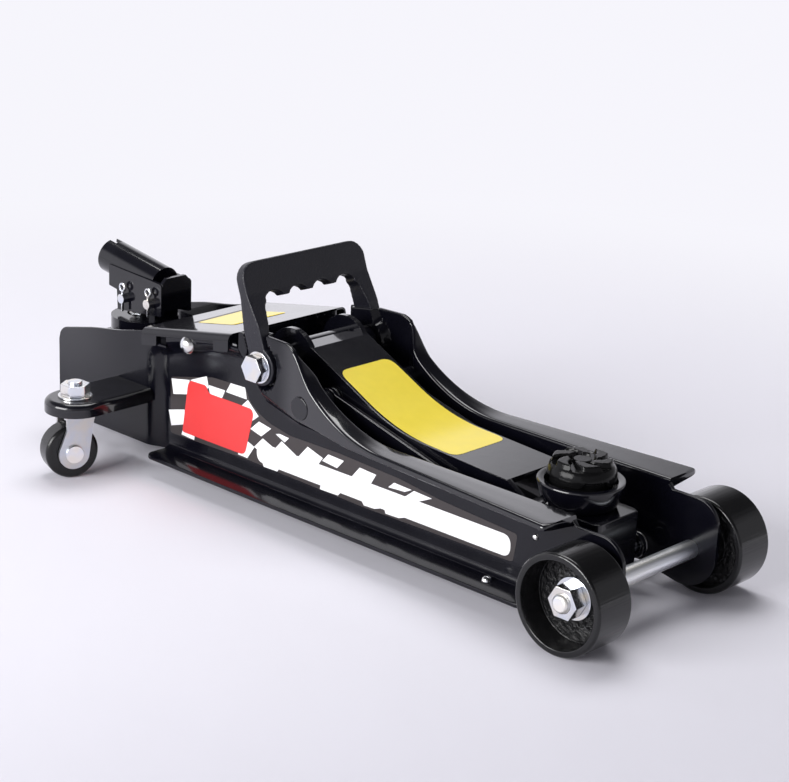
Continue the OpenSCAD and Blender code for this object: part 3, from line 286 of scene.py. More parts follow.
def sunk(x, y, z):
    """The distance out of a point of the plate, pressed in to the web where the handle's eye and leg sit."""
    u, w = x - PIVOT_X, z - PIVOT_Z
    out = math.hypot(u, w) - POCKET_R
    if w * math.cos(LEG_LEAN) > u * math.sin(LEG_LEAN):
        out = min(out, abs(u * math.cos(LEG_LEAN) + w * math.sin(LEG_LEAN)) - LEG_HALF)
    return y if y <= WEB_Y else WEB_Y + (y - WEB_Y) * float(ease(out / POCKET_WALL))


def plate_loop(x, after):
    """Closed section of the left plate at x, as (y, z): up the outside, over the top, down the inside."""
    side = x + (1e-4 if after else -1e-4)
    top = plate_top(x, after)
    flanged = TOP_CORNER < side < FLANGE_END
    foot = FOOT[0] < side < FOOT[1]
    low = plate_low(side)
    web = BAND_Y + (WEB_Y - BAND_Y) * float(ease((x - WEB_START) / WEB_RUN))
    upper = BAND_Y + max(0.0, x - PIVOT_X) * FLARE
    round_x = FLANGE_END - FLANGE_ROUND
    if x > round_x:
        upper -= FLANGE_ROUND - math.sqrt(max(0.0, FLANGE_ROUND**2 - (x - round_x) ** 2))
    if side > FLANGE_END:
        upper = WEB_Y
    middle, half = between(STEP_MIDDLE, x), between(STEP_HALF, x)
    step_low, step_high = min(middle - half, top - 1.5), min(middle + half, top - 1.2)
    round_out, round_in = (2.6, 2.2) if flanged else (EDGE, EDGE)
    # ahead of the top corner the inside goes over into one flat face under the flange
    flat = float(ease((x - TOP_CORNER) / FLAT_RUN))
    reach = 0.0
    if foot:
        reach = FOOT_Y - web
        for end, way in zip(FOOT, (1, -1)):
            left = max(0.0, FOOT_ROUND - (x - end) * way)
            reach -= FOOT_ROUND - math.sqrt(max(0.0, FOOT_ROUND**2 - left**2))
    base = WEB_BASE if side < FOOT[1] else low + EDGE
    # outside of the web, the step and the lip
    outside = [(web, z) for z in base + (step_low - base) * np.linspace(0, 1, 20)]
    for u in np.linspace(0, 1, 16)[1:]:
        outside.append((web + (upper - web) * float(ease(u)), step_low + (step_high - step_low) * u))
    outside += [(upper, z) for z in step_high + (top - round_out - step_high) * np.linspace(0, 1, 22)[1:]]
    outside = [(sunk(x, y, z), z) for y, z in outside]
    upper = outside[-1][0]
    inner_top = upper - PLATE + (WEB_Y - upper) * flat
    outer_y, inner_y = upper - round_out, inner_top + round_in
    turns = np.linspace(0, math.pi / 2, 6)
    over = [(outer_y + round_out * math.cos(a), top - round_out + round_out * math.sin(a)) for a in turns[1:]]
    over += [(outer_y + (inner_y - outer_y) * u, top) for u in (0.33, 0.66)]
    over += [(inner_y - round_in * math.sin(a), top - round_in + round_in * math.cos(a)) for a in turns]
    inside = [(y - PLATE + (WEB_Y - y) * flat, z) for y, z in outside[::-1]][1:]
    # the lower edge, or the foot with its fillet
    inner, tip, upside, nick = inside[-1][0], web + reach, low + PLATE, EDGE * 0.3
    under = [(inner, low + EDGE), (inner + nick, low + nick), (inner + EDGE, low)]
    if foot and reach > 2:
        under += [(tip - EDGE, low), (tip - nick, low + nick), (tip, low + EDGE)]
        under += [(tip, upside - EDGE), (tip - nick, upside - nick), (tip - EDGE, upside)]
        under += [
            (web + FOOT_FILLET * (1 - math.sin(a)), upside + FOOT_FILLET * (1 - math.cos(a)))
            for a in np.linspace(0, math.pi / 2, 7)[:-1]
        ]
    else:
        under += [(web - EDGE, low), (web - nick, low + nick)] + [(web, low + EDGE)] * 10
    return np.array([(x, y, z) for y, z in outside + over + inside + under])


# sections along the plate, as (start, end, number): closer where it bends
spans = (
    (TAIL_X, TAIL_X + TAIL_ROUND, 9), (-490, -407, 18), (-405, -384, 32), (-380, -318, 16),
    (-311.5, -262, 60), (-261, -240, 22), (-238, SWEEP_X, 32), (-160, -45, 24), (-43, FOOT[1], 9),
    (-35, -27, 4), (-27, FLANGE_END, 9), (-19, 7, 15), (8, 16, 10),
)
tip = NOSE_X + NOSE_R
stations = np.concatenate([
    *(np.linspace(*span) for span in spans), tip - 3 * np.cos(np.linspace(0, math.pi / 2, 10)),
])
breaks = [COVER[0], *(x for slot in SLOTS for x in slot[:2]), *FOOT, TOP_CORNER, FLANGE_END]
loops = []
for x in sorted({round(float(v), 4) for v in [*stations, *breaks]}):
    if any(abs(x - b) < 1e-6 for b in breaks):
        loops.append(plate_loop(x, False))
    loops.append(plate_loop(x, True))
verts, faces = loft(loops)
for way, name in ((1, "left"), (-1, "right")):
    mesh_object(
        "pressed_side_plate_" + name, metres(verts, way), faces, "root", PLATE_PAINT,
        ["side_plate_" + name],
    )

# Top cover: a thin lid pressed over the top edges of both plates, with two tabs hooked down on each side
# and a lip turned down in front of the ram. It is screwed to the plates.


def cover_coat(place):
    """The flat of the cover is polished, its rolled sides are as dull as the plates."""
    across = place.node("SeparateXYZ", {0: place})
    out = Sock(across.tree, across.out.node.outputs[1]).math("ABSOLUTE")
    return place.noise(12, 2.0) * 0.1 + 0.9 - out.ramp(0.052, 0.0545) * 0.8


COVER_PAINT = black_paint("cover_paint", cover_coat)
plug(COVER_PAINT.node_tree.nodes["Principled BSDF"], Coat_IOR=1.9)
TABS, TAB_DROP, TAB_ROUND = ((COVER[0], SLOTS[0][0]), (-332.0, COVER[1])), 7.2, 1.2
COVER_T, LIP_HALF, LIP_DROP, LIP_T = 1.3, 47.0, 14.0, 1.4


def cover_loop(x, after):
    """Closed section of the cover at x: over the outside from left to right, then back along the inside."""
    side = x + (1e-4 if after else -1e-4)
    low = corner = cover_top(x, COVER_SIDE)
    for start, end in TABS:
        if start < side < end:
            inset = min(x - start, end - x)
            low = corner - TAB_DROP + TAB_ROUND * max(0.0, 1 - inset / TAB_ROUND) ** 2

    def skin(depth, steps, flats):
        """Half of the section, so deep under the outside: up the side, round the roll and along the flat."""
        side_y, roll = COVER_SIDE - depth, COVER_R - depth
        turns = np.linspace(0, math.pi / 2, steps)
        points = [(side_y, low - 0.3), (side_y, (low + corner) / 2 - 0.1)]
        points += [(COVER_FLAT + roll * math.cos(a), corner + roll * math.sin(a)) for a in turns]
        return points + [(y, cover_top(x, y) - depth) for y in flats]

    outer, inner = skin(0.0, 10, (44, 36, 20, 4)), skin(COVER_T, 6, (36, 20, 4))
    loop = outer + [(-y, z) for y, z in outer[::-1]] + [(-y, z) for y, z in inner] + inner[::-1]
    return np.array([(x, y, z) for y, z in loop])


edges = [x for tab in TABS for x in tab]
rounds = [x + TAB_ROUND * d for x in edges for d in (-1, -0.5, 0.5, 1)]
loops = []
for x in sorted({*np.linspace(*COVER, 40).round(3), *edges, *rounds}):
    if COVER[0] <= x <= COVER[1]:
        loops += [cover_loop(x, after) for after in ([False, True] if x in edges else [True])]
verts, faces = loft(loops)
lip = []
for y in np.linspace(-LIP_HALF, LIP_HALF, 21):
    z = cover_top(COVER[1], y)
    section = ((0, 0.4), (0, LIP_DROP), (LIP_T, LIP_DROP), (LIP_T, 0.4))
    lip.append(np.array([(COVER[1] - back, y, z - down) for back, down in section]))
lip_verts, lip_faces = loft(lip)
faces += [tuple(len(verts) + k for k in face) for face in lip_faces]
mesh_object(
    "pressed_cover", metres(np.concatenate([verts, lip_verts])), faces, "root",
    COVER_PAINT, ["top_cover"],
)

# Base plate, hydraulic unit, levelling links and handle socket: steel and castings in gloss black.
# They keep their solids; sheared and cast edges are broken with a small round so that they catch light.


def dress(name, paint, width=0.0007, segments=3, angle=34.0):
    """Shows a CAD node, or a piece made here, with rounded edges and a finish."""
    piece = nodes[name] if isinstance(name, str) else name
    piece.data.materials.clear()
    piece.data.materials.append(paint)
    piece.data.shade_smooth()
    weld = piece.modifiers.new("weld", "WELD")
    weld.merge_threshold = 2e-6
    flat = piece.modifiers.new("flat", "DECIMATE")
    flat.decimate_type = "DISSOLVE"
    flat.angle_limit = math.radians(0.6)
    if width:
        edge = piece.modifiers.new("edge", "BEVEL")
        edge.width = width
        edge.segments = segments
        edge.limit_method = "ANGLE"
        edge.angle_limit = math.radians(angle)
        edge.use_clamp_overlap = True
        edge.harden_normals = True
    normals = piece.modifiers.new("normals", "WEIGHTED_NORMAL")
    normals.keep_sharp = True
    return piece


for name in ("base_plate", "reservoir", "ram_head", "level_link_left", "level_link_right", "link_studs"):
    dress(name, PAINT, 0.0008)
for name in ("pump_block", "socket_yoke", "handle_socket"):
    dress(name, PAINT, 0.0006)

# Caster brackets: thick steel ears in gloss black, pressed with a rolled rim and welded to the plates.
# Each carries the stem of a caster, clear of its rim.
EAR_R, STEM_HOLE, EAR_START = 0.0215, 0.012, 0.0556


def rolled(name, shape_name, body, picks):
    """A copy of a CAD node's mesh whose picked edges are bent to wide radii: picks are (test, radius)."""
    made = bpy.data.objects.new(shape_name, nodes[name].data.copy())
    bpy.context.scene.collection.objects.link(made)
    shape = bmesh.new()
    shape.from_mesh(made.data)
    bmesh.ops.remove_doubles(shape, verts=shape.verts, dist=2e-6)
    bmesh.ops.dissolve_limit(shape, angle_limit=math.radians(0.6), verts=shape.verts, edges=shape.edges)
    for test, radius in picks:
        folds = [e for e in shape.edges if len(e.link_faces) == 2 and e.calc_face_angle(0) > 0.4]
        picked = [e for e in folds if test((e.verts[0].co + e.verts[1].co) / 2)]
        bmesh.ops.bevel(
            shape, geom=picked, offset=radius, offset_type="OFFSET", segments=7, profile=0.5, affect="EDGES",
            clamp_overlap=True,
        )
    shape.to_mesh(made.data)
    shape.free()
    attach(made, body)
    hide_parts(name)
    return made


def caster_ear(side):
    """A caster bracket whose top rim is rolled over and whose lower rim is eased, clear of the plate."""
    lo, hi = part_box("caster_bracket_" + side)
    stem = ((lo.x + hi.x) / 2, hi.y - EAR_R if side == "left" else lo.y + EAR_R)
    from_stem = lambda p: math.dist((p.x, p.y), stem)
    outline = lambda p: min(p.x - lo.x, hi.x - p.x) < 1e-4 or from_stem(p) > EAR_R - 0.0003
    rim = lambda p: abs(p.z - hi.z) < 1e-4 and abs(p.y) > EAR_START and from_stem(p) > STEM_HOLE
    hem = lambda p: abs(p.z - lo.z) < 1e-4 and abs(p.y) > EAR_START and outline(p)
    picks = [(rim, 0.0042), (hem, 0.002)]
    return rolled("caster_bracket_" + side, "caster_ear_" + side, "root", picks)


for side in ("left", "right"):
    dress(caster_ear(side), PAINT, 0.0)

# Saddle bracket: sheet steel folded to a hood, with round corners in front, in gloss black.
# It hangs on the pins of the arm and the links, and the saddle's stem turns in its top.
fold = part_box("saddle_bracket")[1]
front = lambda p: p.x > fold.x - 1e-4 and abs(p.y) > fold.y - 1e-4
brow = lambda p: p.z > fold.z - 1e-4 and (p.x > fold.x - 0.007 or abs(p.y) > fold.y - 0.003)
picks = [(front, 0.006), (brow, 0.0032)]
bracket = rolled("saddle_bracket", "folded_bracket", "saddle_frame", picks)
dress(bracket, PAINT, 0.0006, 3, 40.0)

# Lift arm and its pivot shaft: a channel pressed from steel sheet, with a wide bend along its back,
# in thick gloss black. The arm turns on the shaft between the side plates.
ARM_RIDGE, ARM_FRONT, ARM_BEND = (-266.0, 113.0), (-91.0, 69.5), 150.0
ARM_STEEP, ARM_SHALLOW = math.radians(25.8), math.radians(3.2)


def arm_top(x):
    """Height of the arm's top at x: a steep and a shallow straight joined by a wide bend."""
    steep, shallow = math.tan(ARM_STEEP), math.tan(ARM_SHALLOW)
    (ridge_x, ridge_z), (front_x, front_z) = ARM_RIDGE, ARM_FRONT
    meet = ridge_x + (ridge_z - front_z + (ridge_x - front_x) * shallow) / (steep - shallow)
    half = ARM_BEND * math.tan((ARM_STEEP - ARM_SHALLOW) / 2)
    start, end = meet - half * math.cos(ARM_STEEP), meet + half * math.cos(ARM_SHALLOW)
    if x < start:
        return ridge_z - (x - ridge_x) * steep
    if x > end:
        return front_z + (front_x - x) * shallow
    centre_x = end + ARM_BEND * math.sin(ARM_SHALLOW)
    centre_z = front_z + (front_x - end) * shallow + ARM_BEND * math.cos(ARM_SHALLOW)
    return centre_z - math.sqrt(ARM_BEND**2 - (x - centre_x) ** 2)


arm_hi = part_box("lift_arm")[1]
on_top = lambda p: p.z * 1000 > arm_top((p.x - AXLE_X) * 1000) - 1.5
back = lambda p: abs(abs(p.y) - arm_hi.y) < 1e-4 and p.x > AXLE_X - 0.265 and on_top(p)
ARM_PAINT = black_paint("arm_paint", lambda place: place.noise(12, 2.0) * 0.1 + 0.9)
dress(rolled("lift_arm", "pressed_arm", "arm", [(back, 0.0045)]), ARM_PAINT, 0.0007, 3, 50.0)
dress("pivot_shaft", PAINT, 0.0008)

# Front wheels: cast iron in gloss black, smooth on the turned rim and rough as cast in the deep recess.
# They run on the axle between a spacer and a washer.


def cast_paint():
    """Gloss black over cast iron: fine turning marks on the rim, and glints on the rough of the recess."""
    made, shader, place = material("cast_wheel_paint")
    local = place.node("VectorMath", {0: place, 1: (-AXLE_X, 0, -(axle_lo.z + axle_hi.z) / 2)})
    parts = local.node("SeparateXYZ", {0: local})
    x, z = parts, Sock(parts.tree, parts.out.node.outputs[2])
    radius = (x * x + z * z).math("SQRT")
    recess = 1 - radius.ramp(0.0262, 0.0278)
    grain = place.noise(330, 4.0) + place.noise(1100, 2.0) * 0.4
    drawn = place.node("VectorMath", {0: place, 1: (1, 0.03, 1)}, operation="MULTIPLY").noise(900, 3.0)
    glints = place.noise(380, 3.0).ramp(0.48, 0.66)
    plug(
        shader,
        Base_Color=place.noise(40, 4.0).mix((0.003, 0.003, 0.0034, 1), (0.007, 0.007, 0.0078, 1)),
        Roughness=place.noise(70, 3.0) * 0.08 + drawn * 0.1 + 0.05,
        Normal=bump(grain * recess + drawn * (1 - recess) * 0.07, 0.0022, 0.8),
        Coat_Weight=recess * (glints * 0.9 - 0.2) + 0.2,
        Coat_Roughness=0.06,
        Specular_IOR_Level=0.35,
    )
    return made


CAST = cast_paint()
for name in ("front_wheel_left", "front_wheel_right"):
    dress(name, CAST, 0.0007)

# Plated fasteners, axle and caster forks: steel under zinc with a faint blue and straw tint, worn satin.
# Pins, rods and clips inside are bare oiled steel. They are screwed, riveted or clipped in place.


def plated(name, tone, rough, tint, along=1.0):
    """Metal by its tone, least roughness and straw tint; along under 1 draws its grain out along the axle."""
    made, shader, place = material(name)
    place = place.node("VectorMath", {0: place, 1: (1, along, 1)}, operation="MULTIPLY")
    cloud = place.noise(90, 4.0)
    blue, straw = (tone * 0.93, tone * 0.97, tone * 1.05, 1), (tone * 1.04, tone, tone * tint, 1)
    plug(
        shader,
        Base_Color=cloud.ramp(0.35, 0.7).mix(blue, straw),
        Metallic=1.0,
        Roughness=place.noise(240, 4.0) * 0.16 + cloud * 0.08 + rough,
        Normal=bump(place.noise(900, 3.0), 0.00012, 0.35),
    )
    return made


ZINC = plated("zinc_plate", 0.8, 0.07, 0.93)
FORK_ZINC = plated("fork_zinc", 0.62, 0.26, 0.94)
STEEL = plated("oiled_steel", 0.42, 0.2, 0.93)
for name in (
    "cover_screws", "axle_spacers", "axle_washers", "axle_nuts", "caster_stems", "caster_nuts",
    "caster_axle_left", "caster_axle_right", "handle_bolts", "handle_washers", "saddle_pin", "link_pin",
    "block_screws", "release_spindle", "yoke_pin", "yoke_pin_clip", "plunger_pin", "plunger_pin_clip",
):
    dress(name, ZINC, 0.0005)
for name in ("caster_fork_left", "caster_fork_right"):
    dress(name, FORK_ZINC, 0.0006)
dress("front_axle", plated("drawn_axle", 0.93, 0.25, 0.92, 0.05), 0.0005)
for name in (
    "crank_pin", "crank_roller", "cylinder_liner", "gland", "ram_rod", "link_stud_clips", "link_pin_clips",
    "saddle_circlip", "pump_plunger",
):
    dress(name, STEEL, 0.0004)

# Two bright rivets on each side, with low round heads of zinc-plated steel: one through the foot
# and one high on the web behind the wheel.


def dome(name, centre, out, radius, height):
    """A low round head on a face: its middle, the face's outward direction and its size in millimetres."""
    turn = Vector(out).to_track_quat("Z", "Y")
    turns = np.linspace(0, 2 * math.pi, 24, endpoint=False)
    rings = []
    for t in np.linspace(0, math.pi / 2 * 0.97, 7):
        r, up = radius * math.cos(t), height * math.sin(t)
        ring = [Vector((r * math.cos(a), r * math.sin(a), up)) for a in turns]
        rings.append(np.array([turn @ point + Vector(centre) for point in ring]))
    verts, faces = loft(rings)
    mesh_object(name, metres(verts), faces, "root", ZINC, sharp=80)


for way, side in ((-1, "right"), (1, "left")):
    dome("foot_rivet_" + side, (-76, way * 58.5, FOOT_Z + PLATE), (0, 0, 1), 3.4, 3.2)
    dome("web_rivet_" + side, (-47.5, way * WEB_Y, 50.5), (0, way, 0), 2.2, 1.6)

# Carry handle and caster wheels: moulded black plastic, fine-grained on the handle, smooth on the wheels.
# The handle is bolted to the side plates, and the wheels run on riveted axles. The filler plug is rubber.


def plastic(name, base, rough, grain, depth, shine=0.35, blue=1.06):
    """Black plastic or rubber by its tone, least roughness, the scale and depth of its grain, and shine."""
    made, shader, place = material(name)
    cells = place.node("TexVoronoi", {"Vector": place, "Scale": grain}, feature="SMOOTH_F1")
    pale = base * 1.4
    plug(
        shader,
        Base_Color=place.noise(30, 3.0).mix((base, base, base * blue, 1), (pale, pale, pale * blue, 1)),
        Roughness=place.noise(200, 3.0) * 0.12 + rough,
        Normal=bump(cells + place.noise(grain * 0.7, 2.0) * 0.6, depth, 0.5),
        Specular_IOR_Level=shine,
    )
    return made


GRIP = plastic("grained_plastic", 0.0072, 0.3, 950, 0.00035, 0.42, 1.6)
TYRE = plastic("smooth_plastic", 0.0075, 0.16, 400, 0.00003)
RUBBER = plastic("pad_rubber", 0.004, 0.1, 600, 0.0001, 0.15)
handle = nodes["carry_handle"]
handle.data.materials.clear()
handle.data.materials.append(GRIP)
cells = handle.modifiers.new("moulded", "REMESH")
cells.mode = "VOXEL"
cells.voxel_size = 0.0007
cells.use_smooth_shade = True
soften = handle.modifiers.new("soften", "SMOOTH")
soften.factor = 0.5
soften.iterations = 9
for name in ("caster_wheel_left", "caster_wheel_right"):
    dress(name, TYRE, 0.0008)
dress("filler_plug", RUBBER, 0.0008)

# Saddle: a cast bowl in gloss black, and on it a moulded rubber cap with six swirled teeth, a round middle
# and a stepped skirt. Both turn on the stem through the bracket.
cup_lo, cup_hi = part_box("saddle_cup")
pad_lo, pad_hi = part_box("saddle_pad")
pad_c = (pad_lo + pad_hi) / 2
PAD_SEGMENTS, PAD_R, TOOTH = 192, 0.022, 0.0036
ring_z = cup_hi.z
# the bowl's section as (radius, height) in millimetres, from its bore out, up and back in
BOWL = (
    (8.4, 0), (21.6, 0), (22.5, 0.4), (23.9, 2.8), (25.3, 6), (26.5, 9.5), (27.4, 13), (27.9, 15.2),
    (27.85, 16.3), (27.3, 17), (24.1, 17), (23.4, 16.7), (23, 16), (23, 6), (8.4, 6),
)
turned = [
    np.array([(r * math.cos(a), r * math.sin(a), z) for r, z in BOWL]) * 0.001
    for a in np.linspace(0, 2 * math.pi, 97)
]
verts, faces = loft(turned)
mesh_object(
    "saddle_bowl", verts + np.array((pad_c.x, 0, cup_lo.z)), faces[:-2], "saddle", PAINT,
    ["saddle_cup"], 50,
)


def pad_height(r, turn):
    """Height of the pad's top over its floor at a part of its radius and a turn in radians."""
    swirl = math.cos(6 * (turn - 1.3 * r + 1.66))
    tooth = ease((swirl + 0.5) / 0.4) * ease((r - 0.34) / 0.07) * ease((0.9 - r) / 0.07)
    return TOOTH * max(float(tooth), 0.7 * float(ease((0.3 - r) / 0.05)))


def pad_ring(r, height):
    """A ring of the pad at a part of its radius, with its height given at each turn."""
    turns = np.linspace(0, 2 * math.pi, PAD_SEGMENTS, endpoint=False)
    return np.array([(PAD_R * r * math.cos(a), PAD_R * r * math.sin(a), height(a)) for a in turns])


floor_z = pad_hi.z - TOOTH
skirt = lambda a: ring_z + 0.0009 + 0.0034 * float(ease((math.sin(4 * a + 3.46) + 0.3) / 0.6))
pad_loops = [
    pad_ring(r, lambda a, r=r: floor_z + pad_height(r, a)) for r in (0.0, *np.linspace(0.06, 0.9, 40))
]
for r, drop in ((0.925, 0.0008), (0.955, 0.002), (0.982, 0.0036), (1.0, 0.0054)):
    pad_loops.append(pad_ring(r, lambda a, drop=drop: floor_z - drop))
for r, lift in ((1.004, 0.0), (0.984, -0.0007), (0.944, -0.0007), (0.9, 0.0016)):
    pad_loops.append(pad_ring(r, lambda a, lift=lift: skirt(a) + lift))
for r, z in ((0.9, ring_z + 0.001), (0.9, ring_z - 0.008), (0.25, ring_z - 0.0085)):
    pad_loops.append(pad_ring(r, lambda a, z=z: z))
verts, faces = loft(pad_loops)
mesh_object(
    "saddle_rubber", verts + np.array((pad_c.x, 0, 0)), faces, "saddle", RUBBER,
    ["saddle_pad"], 60,
)

# Return springs of the ram and the plunger's spring: oiled steel wire, hooked at both ends.
# They stretch between the frame and the piece that they pull.


def spring(name, axis):
    """A copy of a spring's solid in oiled steel, smooth and baked where it stands, in place of the CAD node.
    """
    made = bpy.data.objects.new(name + "_wire", nodes[name].data.copy())
    bpy.context.scene.collection.objects.link(made)
    lo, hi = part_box(name)
    for i in range(3):
        if i != axis:
            lo[i] = hi[i] = (lo[i] + hi[i]) / 2
    for face in made.data.polygons:
        face.use_smooth = True
    made.data.materials.clear()
    made.data.materials.append(STEEL)
    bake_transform(made)
    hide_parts(name)


spring("return_spring_left", 0)
spring("return_spring_right", 0)
spring("plunger_spring", 2)

# Labels: plain yellow sheet on the arm and the cover, and on each side a chequered strip with a red badge.
# Thin self-adhesive film, laid 0.1 to 0.3 mm over the paint and cut with round corners.


def film(name, colour, rough=0.28, coat=0.0):
    """Printed film in one colour, a little worn."""
    made, shader, place = material(name)
    worn = place.noise(120, 4.0)
    dark = tuple(c * 0.9 for c in colour)
    plug(
        shader,
        Base_Color=worn.mix((*dark, 1), (*colour, 1)),
        Roughness=worn * 0.12 + rough,
        Normal=bump(place.noise(300, 2.0), 0.00005, 0.3),
        Coat_Weight=coat,
        Coat_Roughness=0.12,
    )
    return made


YELLOW = film("yellow_film", (0.92, 0.73, 0.035), 0.28, 0.6)
DEEP_YELLOW = film("yellow_film_edge", (0.9, 0.66, 0.02), 0.55)
WHITE = film("white_film", (0.90, 0.90, 0.91))
RED = film("red_film", (0.70, 0.042, 0.042))
GREY = film("dark_film", (0.034, 0.028, 0.028))


def rounded(corners, radius, steps=6):
    """A closed outline through 2-D corners, each rounded to that radius."""
    corners = [np.array(c, float) for c in corners]
    out = []
    for i, c in enumerate(corners):
        a, b = corners[i - 1] - c, corners[(i + 1) % len(corners)] - c
        a, b = a / np.linalg.norm(a), b / np.linalg.norm(b)
        for t in np.linspace(0, 1, steps):
            out.append(c + radius * (a * (1 - t) ** 2 + b * t**2))
    return out


def fill(outlines, lift, step=4.0):
    """Faces inside 2-D outlines, cut across at even steps along x so that the sheet can bend: returns points
    and faces.
    """
    shape = bmesh.new()
    for outline in outlines:
        shape.faces.new([shape.verts.new((p[0], p[1], 0)) for p in outline])
    lo = min(p[0] for o in outlines for p in o)
    hi = max(p[0] for o in outlines for p in o)
    for x in np.arange(lo + step, hi, step):
        geometry = [*shape.verts, *shape.edges, *shape.faces]
        bmesh.ops.bisect_plane(shape, geom=geometry, plane_co=(x, 0, 0), plane_no=(1, 0, 0))
    shape.verts.index_update()
    points = [(v.co.x, v.co.y, lift) for v in shape.verts]
    cells = [tuple(v.index for v in f.verts) for f in shape.faces]
    shape.free()
    return points, cells


def label(name, outlines, lift, place, body, paint):
    """A sticker from flat outlines: place puts a flat point and its lift over the paint in space."""
    points, cells = fill(outlines, lift)
    mesh_object(name, metres([place(*p) for p in points]), cells, body, paint)


label(
    "arm_label", [rounded([(-243, -24.5), (-136, -25.5), (-136, 25.5), (-243, 24.5)], 8)], 0.16,
    lambda x, y, d: (x, y, arm_top(x) + d), "arm", YELLOW,
)
on_cover = lambda x, y, d: (x, y, cover_top(x, y) + d)
label(
    "cover_label", [rounded([(-380, -28.5), (-343.5, -27.5), (-342.5, 22.5), (-383.5, 19.5)], 3)], 0.16,
    on_cover, "root", YELLOW,
)
label(
    "cover_label_edge", [[(-345, -26), (-343, -26), (-342, 21), (-344, 21)]], 0.22,
    on_cover, "root", DEEP_YELLOW,
)
label(
    "cover_stripe", [[(-384, -29), (-380.6, -29), (-384, 19.7), (-387.5, 19.7)]], 0.14,
    on_cover, "root", GREY,
)
backing = rounded([
    (-384, 26.5), (-300, 28.5), (-190, 26.8), (-64, 29), (-61.5, 48), (-126, 51.5), (-161, 55.5),
    (-215, 57.5), (-262, 57), (-282, 60.5), (-292, 64.5), (-302, 71), (-306, 79.5), (-340, 78.5), (-384, 68),
], 2.5, 4)
badge = rounded([
    (-371, 30.5), (-308.5, 31), (-305.5, 33), (-298, 62.5), (-300, 66), (-343.5, 66), (-346.5, 71),
    (-363, 70.5), (-365.5, 67),
], 2.2, 4)
strip = rounded([(-294, 30.2), (-66.5, 31), (-66.5, 45.4), (-294, 44.6)], 6.7, 9)
# squares of the waving flag that show round the badge and over and under the white strip
squares = [
    [(-386, 43), (-383, 32), (-369, 36.5), (-369, 47.5)],
    [(-383, 67), (-381, 56), (-364, 60), (-362, 71)],
    [(-365, 64), (-364, 70.5), (-346, 77.8), (-342, 64)],
    [(-347, 64), (-343.5, 72), (-327, 72.3), (-331, 64)],
    [(-326, 71.5), (-321.5, 79), (-307, 79.5), (-305, 71.5)],
    [(-312, 64), (-304, 71.5), (-293, 62.5), (-300, 57)],
    [(-301, 51.5), (-292.5, 59), (-280.5, 57), (-290, 49)],
    [(-297, 39.5), (-288.5, 48), (-277, 44), (-284, 36)],
    [(-276, 54.5), (-272, 55.7), (-263, 55), (-267, 51)],
    [(-279, 41), (-270, 51), (-256, 45), (-262, 39)],
    [(-255, 43), (-245, 54), (-230.5, 50), (-237, 41)],
    [(-231, 48), (-225.5, 54), (-211, 53.5), (-217, 46.8)],
    [(-205, 43), (-196.5, 53), (-181.5, 52.3), (-187, 43)],
    [(-170.5, 47), (-165.5, 51.5), (-150, 51), (-156, 48)],
    [(-158, 43), (-148, 51), (-132.5, 50.3), (-148, 43)],
    [(-290, 34), (-287, 28), (-273.5, 28.2), (-270, 34)],
    [(-231, 34), (-232.5, 27.6), (-215.5, 28), (-210, 34)],
    [(-196, 33), (-191.5, 28.2), (-182, 28.6), (-170, 33)],
    [(-174, 33), (-172, 28.3), (-160, 28.8), (-149, 33)],
    [(-372, 28.2), (-358.5, 27.6), (-357.5, 33), (-370, 34)],
    [(-313, 29.7), (-303.5, 29.5), (-296.5, 39.5), (-307, 43)],
]
for way, side in ((-1, "right"), (1, "left")):
    put = lambda x, z, d, way=way: (x, way * (WEB_Y + d), z)
    label("side_film_" + side, [backing], 0.08, put, "root", GREY)
    label("side_chequers_" + side, squares, 0.14, put, "root", WHITE)
    label("side_strip_" + side, [strip], 0.2, put, "root", WHITE)
    label("side_badge_" + side, [badge], 0.26, put, "root", RED)

# Studio: a pale cloth floor, a white surround and two soft lights, one overhead and one from the right-hand
# side, seen through a long lens from the front right.
ground = bpy.data.meshes.new("floor")
ground.from_pydata([(-9, -9, 0), (9, -9, 0), (9, 9, 0), (-9, 9, 0)], [], [(0, 1, 2, 3)])
floor = bpy.data.objects.new("floor", ground)
bpy.context.scene.collection.objects.link(floor)
cloth, shader, place = material("pale_cloth")
weave = place.node("TexWave", {"Vector": place, "Scale": 420.0, "Distortion": 1.5}) + place.noise(900, 3.0)
spot = place.node("SeparateXYZ", {0: place})
x, y = spot, Sock(spot.tree, spot.out.node.outputs[1])
# painted shade: the cloth's colour darkens towards the corner at +x and -y, where the floor lies in shade
corner = (x * 0.85 - y * 0.55).ramp(0.1, 0.62)
plug(
    shader,
    Base_Color=corner.mix((0.77, 0.757, 0.822, 1), (0.61, 0.60, 0.665, 1)),
    Roughness=0.85,
    Normal=bump(weave + place.noise(16, 2.0) * 5.0, 0.0004, 0.3),
    Specular_IOR_Level=0.15,
)
far = (x * x + y * y).math("SQRT").ramp(0.34, 0.95)
glow = far.node("Emission", {"Color": (0.925, 0.918, 0.975, 1)})
tree = cloth.node_tree
blend = far.node("MixShader", {0: far, 1: Sock(tree, shader.outputs[0]), 2: glow})
tree.links.new(blend.out, tree.nodes["Material Output"].inputs["Surface"])
ground.materials.append(cloth)

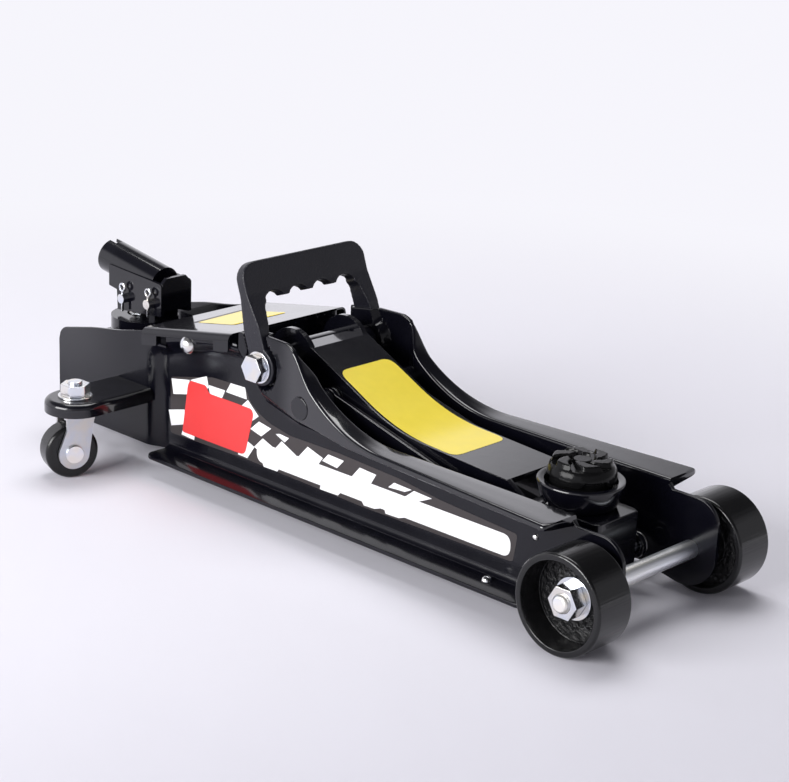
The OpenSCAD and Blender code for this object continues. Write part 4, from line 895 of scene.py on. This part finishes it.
scene = bpy.context.scene
world = bpy.data.worlds.new("surround")
scene.world = world
world.use_nodes = True
sky = world.node_tree.nodes["Background"]
seen = Sock(world.node_tree, world.node_tree.nodes.new("ShaderNodeLightPath").outputs["Is Camera Ray"])
aim = Sock(world.node_tree, world.node_tree.nodes.new("ShaderNodeTexCoord").outputs["Generated"])
# rays of the camera see plain white; others see a surround that is dark overhead and dim beyond the far side
east, north, rise = (Sock(aim.tree, out) for out in aim.node("SeparateXYZ", {0: aim}).out.node.outputs)
side = (east * -0.8 + north * -0.6).ramp(-0.08, 0.05)
sky.inputs["Color"].default_value = (0.95, 0.94, 1.0, 1)
lit = (1 - rise.ramp(0.4, 0.62) * 0.88) * (side * 0.6 + 0.4)
plug(sky, Strength=lit * (1 - seen) * 1.12 + seen * 0.95)


def softbox(name, place, aim, size, power):
    """A rectangular white lamp at a place, turned to face a point."""
    lamp = bpy.data.lights.new(name, "AREA")
    lamp.shape, lamp.size, lamp.size_y = "RECTANGLE", *size
    lamp.energy = power
    made = bpy.data.objects.new(name, lamp)
    bpy.context.scene.collection.objects.link(made)
    made.location = place
    made.rotation_mode = "QUATERNION"
    made.rotation_quaternion = (Vector(aim) - Vector(place)).to_track_quat("-Z", "Y")


softbox("overhead", (-0.5, 0.5, 1.9), (0, 0, 0), (1.5, 1.1), 28)
softbox("front", (-0.35, -2.0, 0.85), (-0.1, 0, 0.1), (1.6, 0.9), 51)

lens = bpy.data.cameras.new("camera")
lens.lens, lens.sensor_width = 95.82, 36.0
camera = bpy.data.objects.new("camera", lens)
bpy.context.scene.collection.objects.link(camera)
scene.camera = camera
heading, dip, roll = math.radians(132.9), math.radians(-18.2), math.radians(2.39)
ahead = Vector((math.cos(heading) * math.cos(dip), math.sin(heading) * math.cos(dip), math.sin(dip)))
right = ahead.cross(Vector((0, 0, 1))).normalized()
up = right.cross(ahead)
right, up = right * math.cos(roll) + up * math.sin(roll), up * math.cos(roll) - right * math.sin(roll)
eye = Vector((AXLE_X + 0.6888, -0.9717, 0.5266))
rows = [(right[i], up[i], -ahead[i], eye[i]) for i in range(3)]
camera.matrix_world = Matrix((*rows, (0, 0, 0, 1)))
scene.view_settings.view_transform = "Standard"
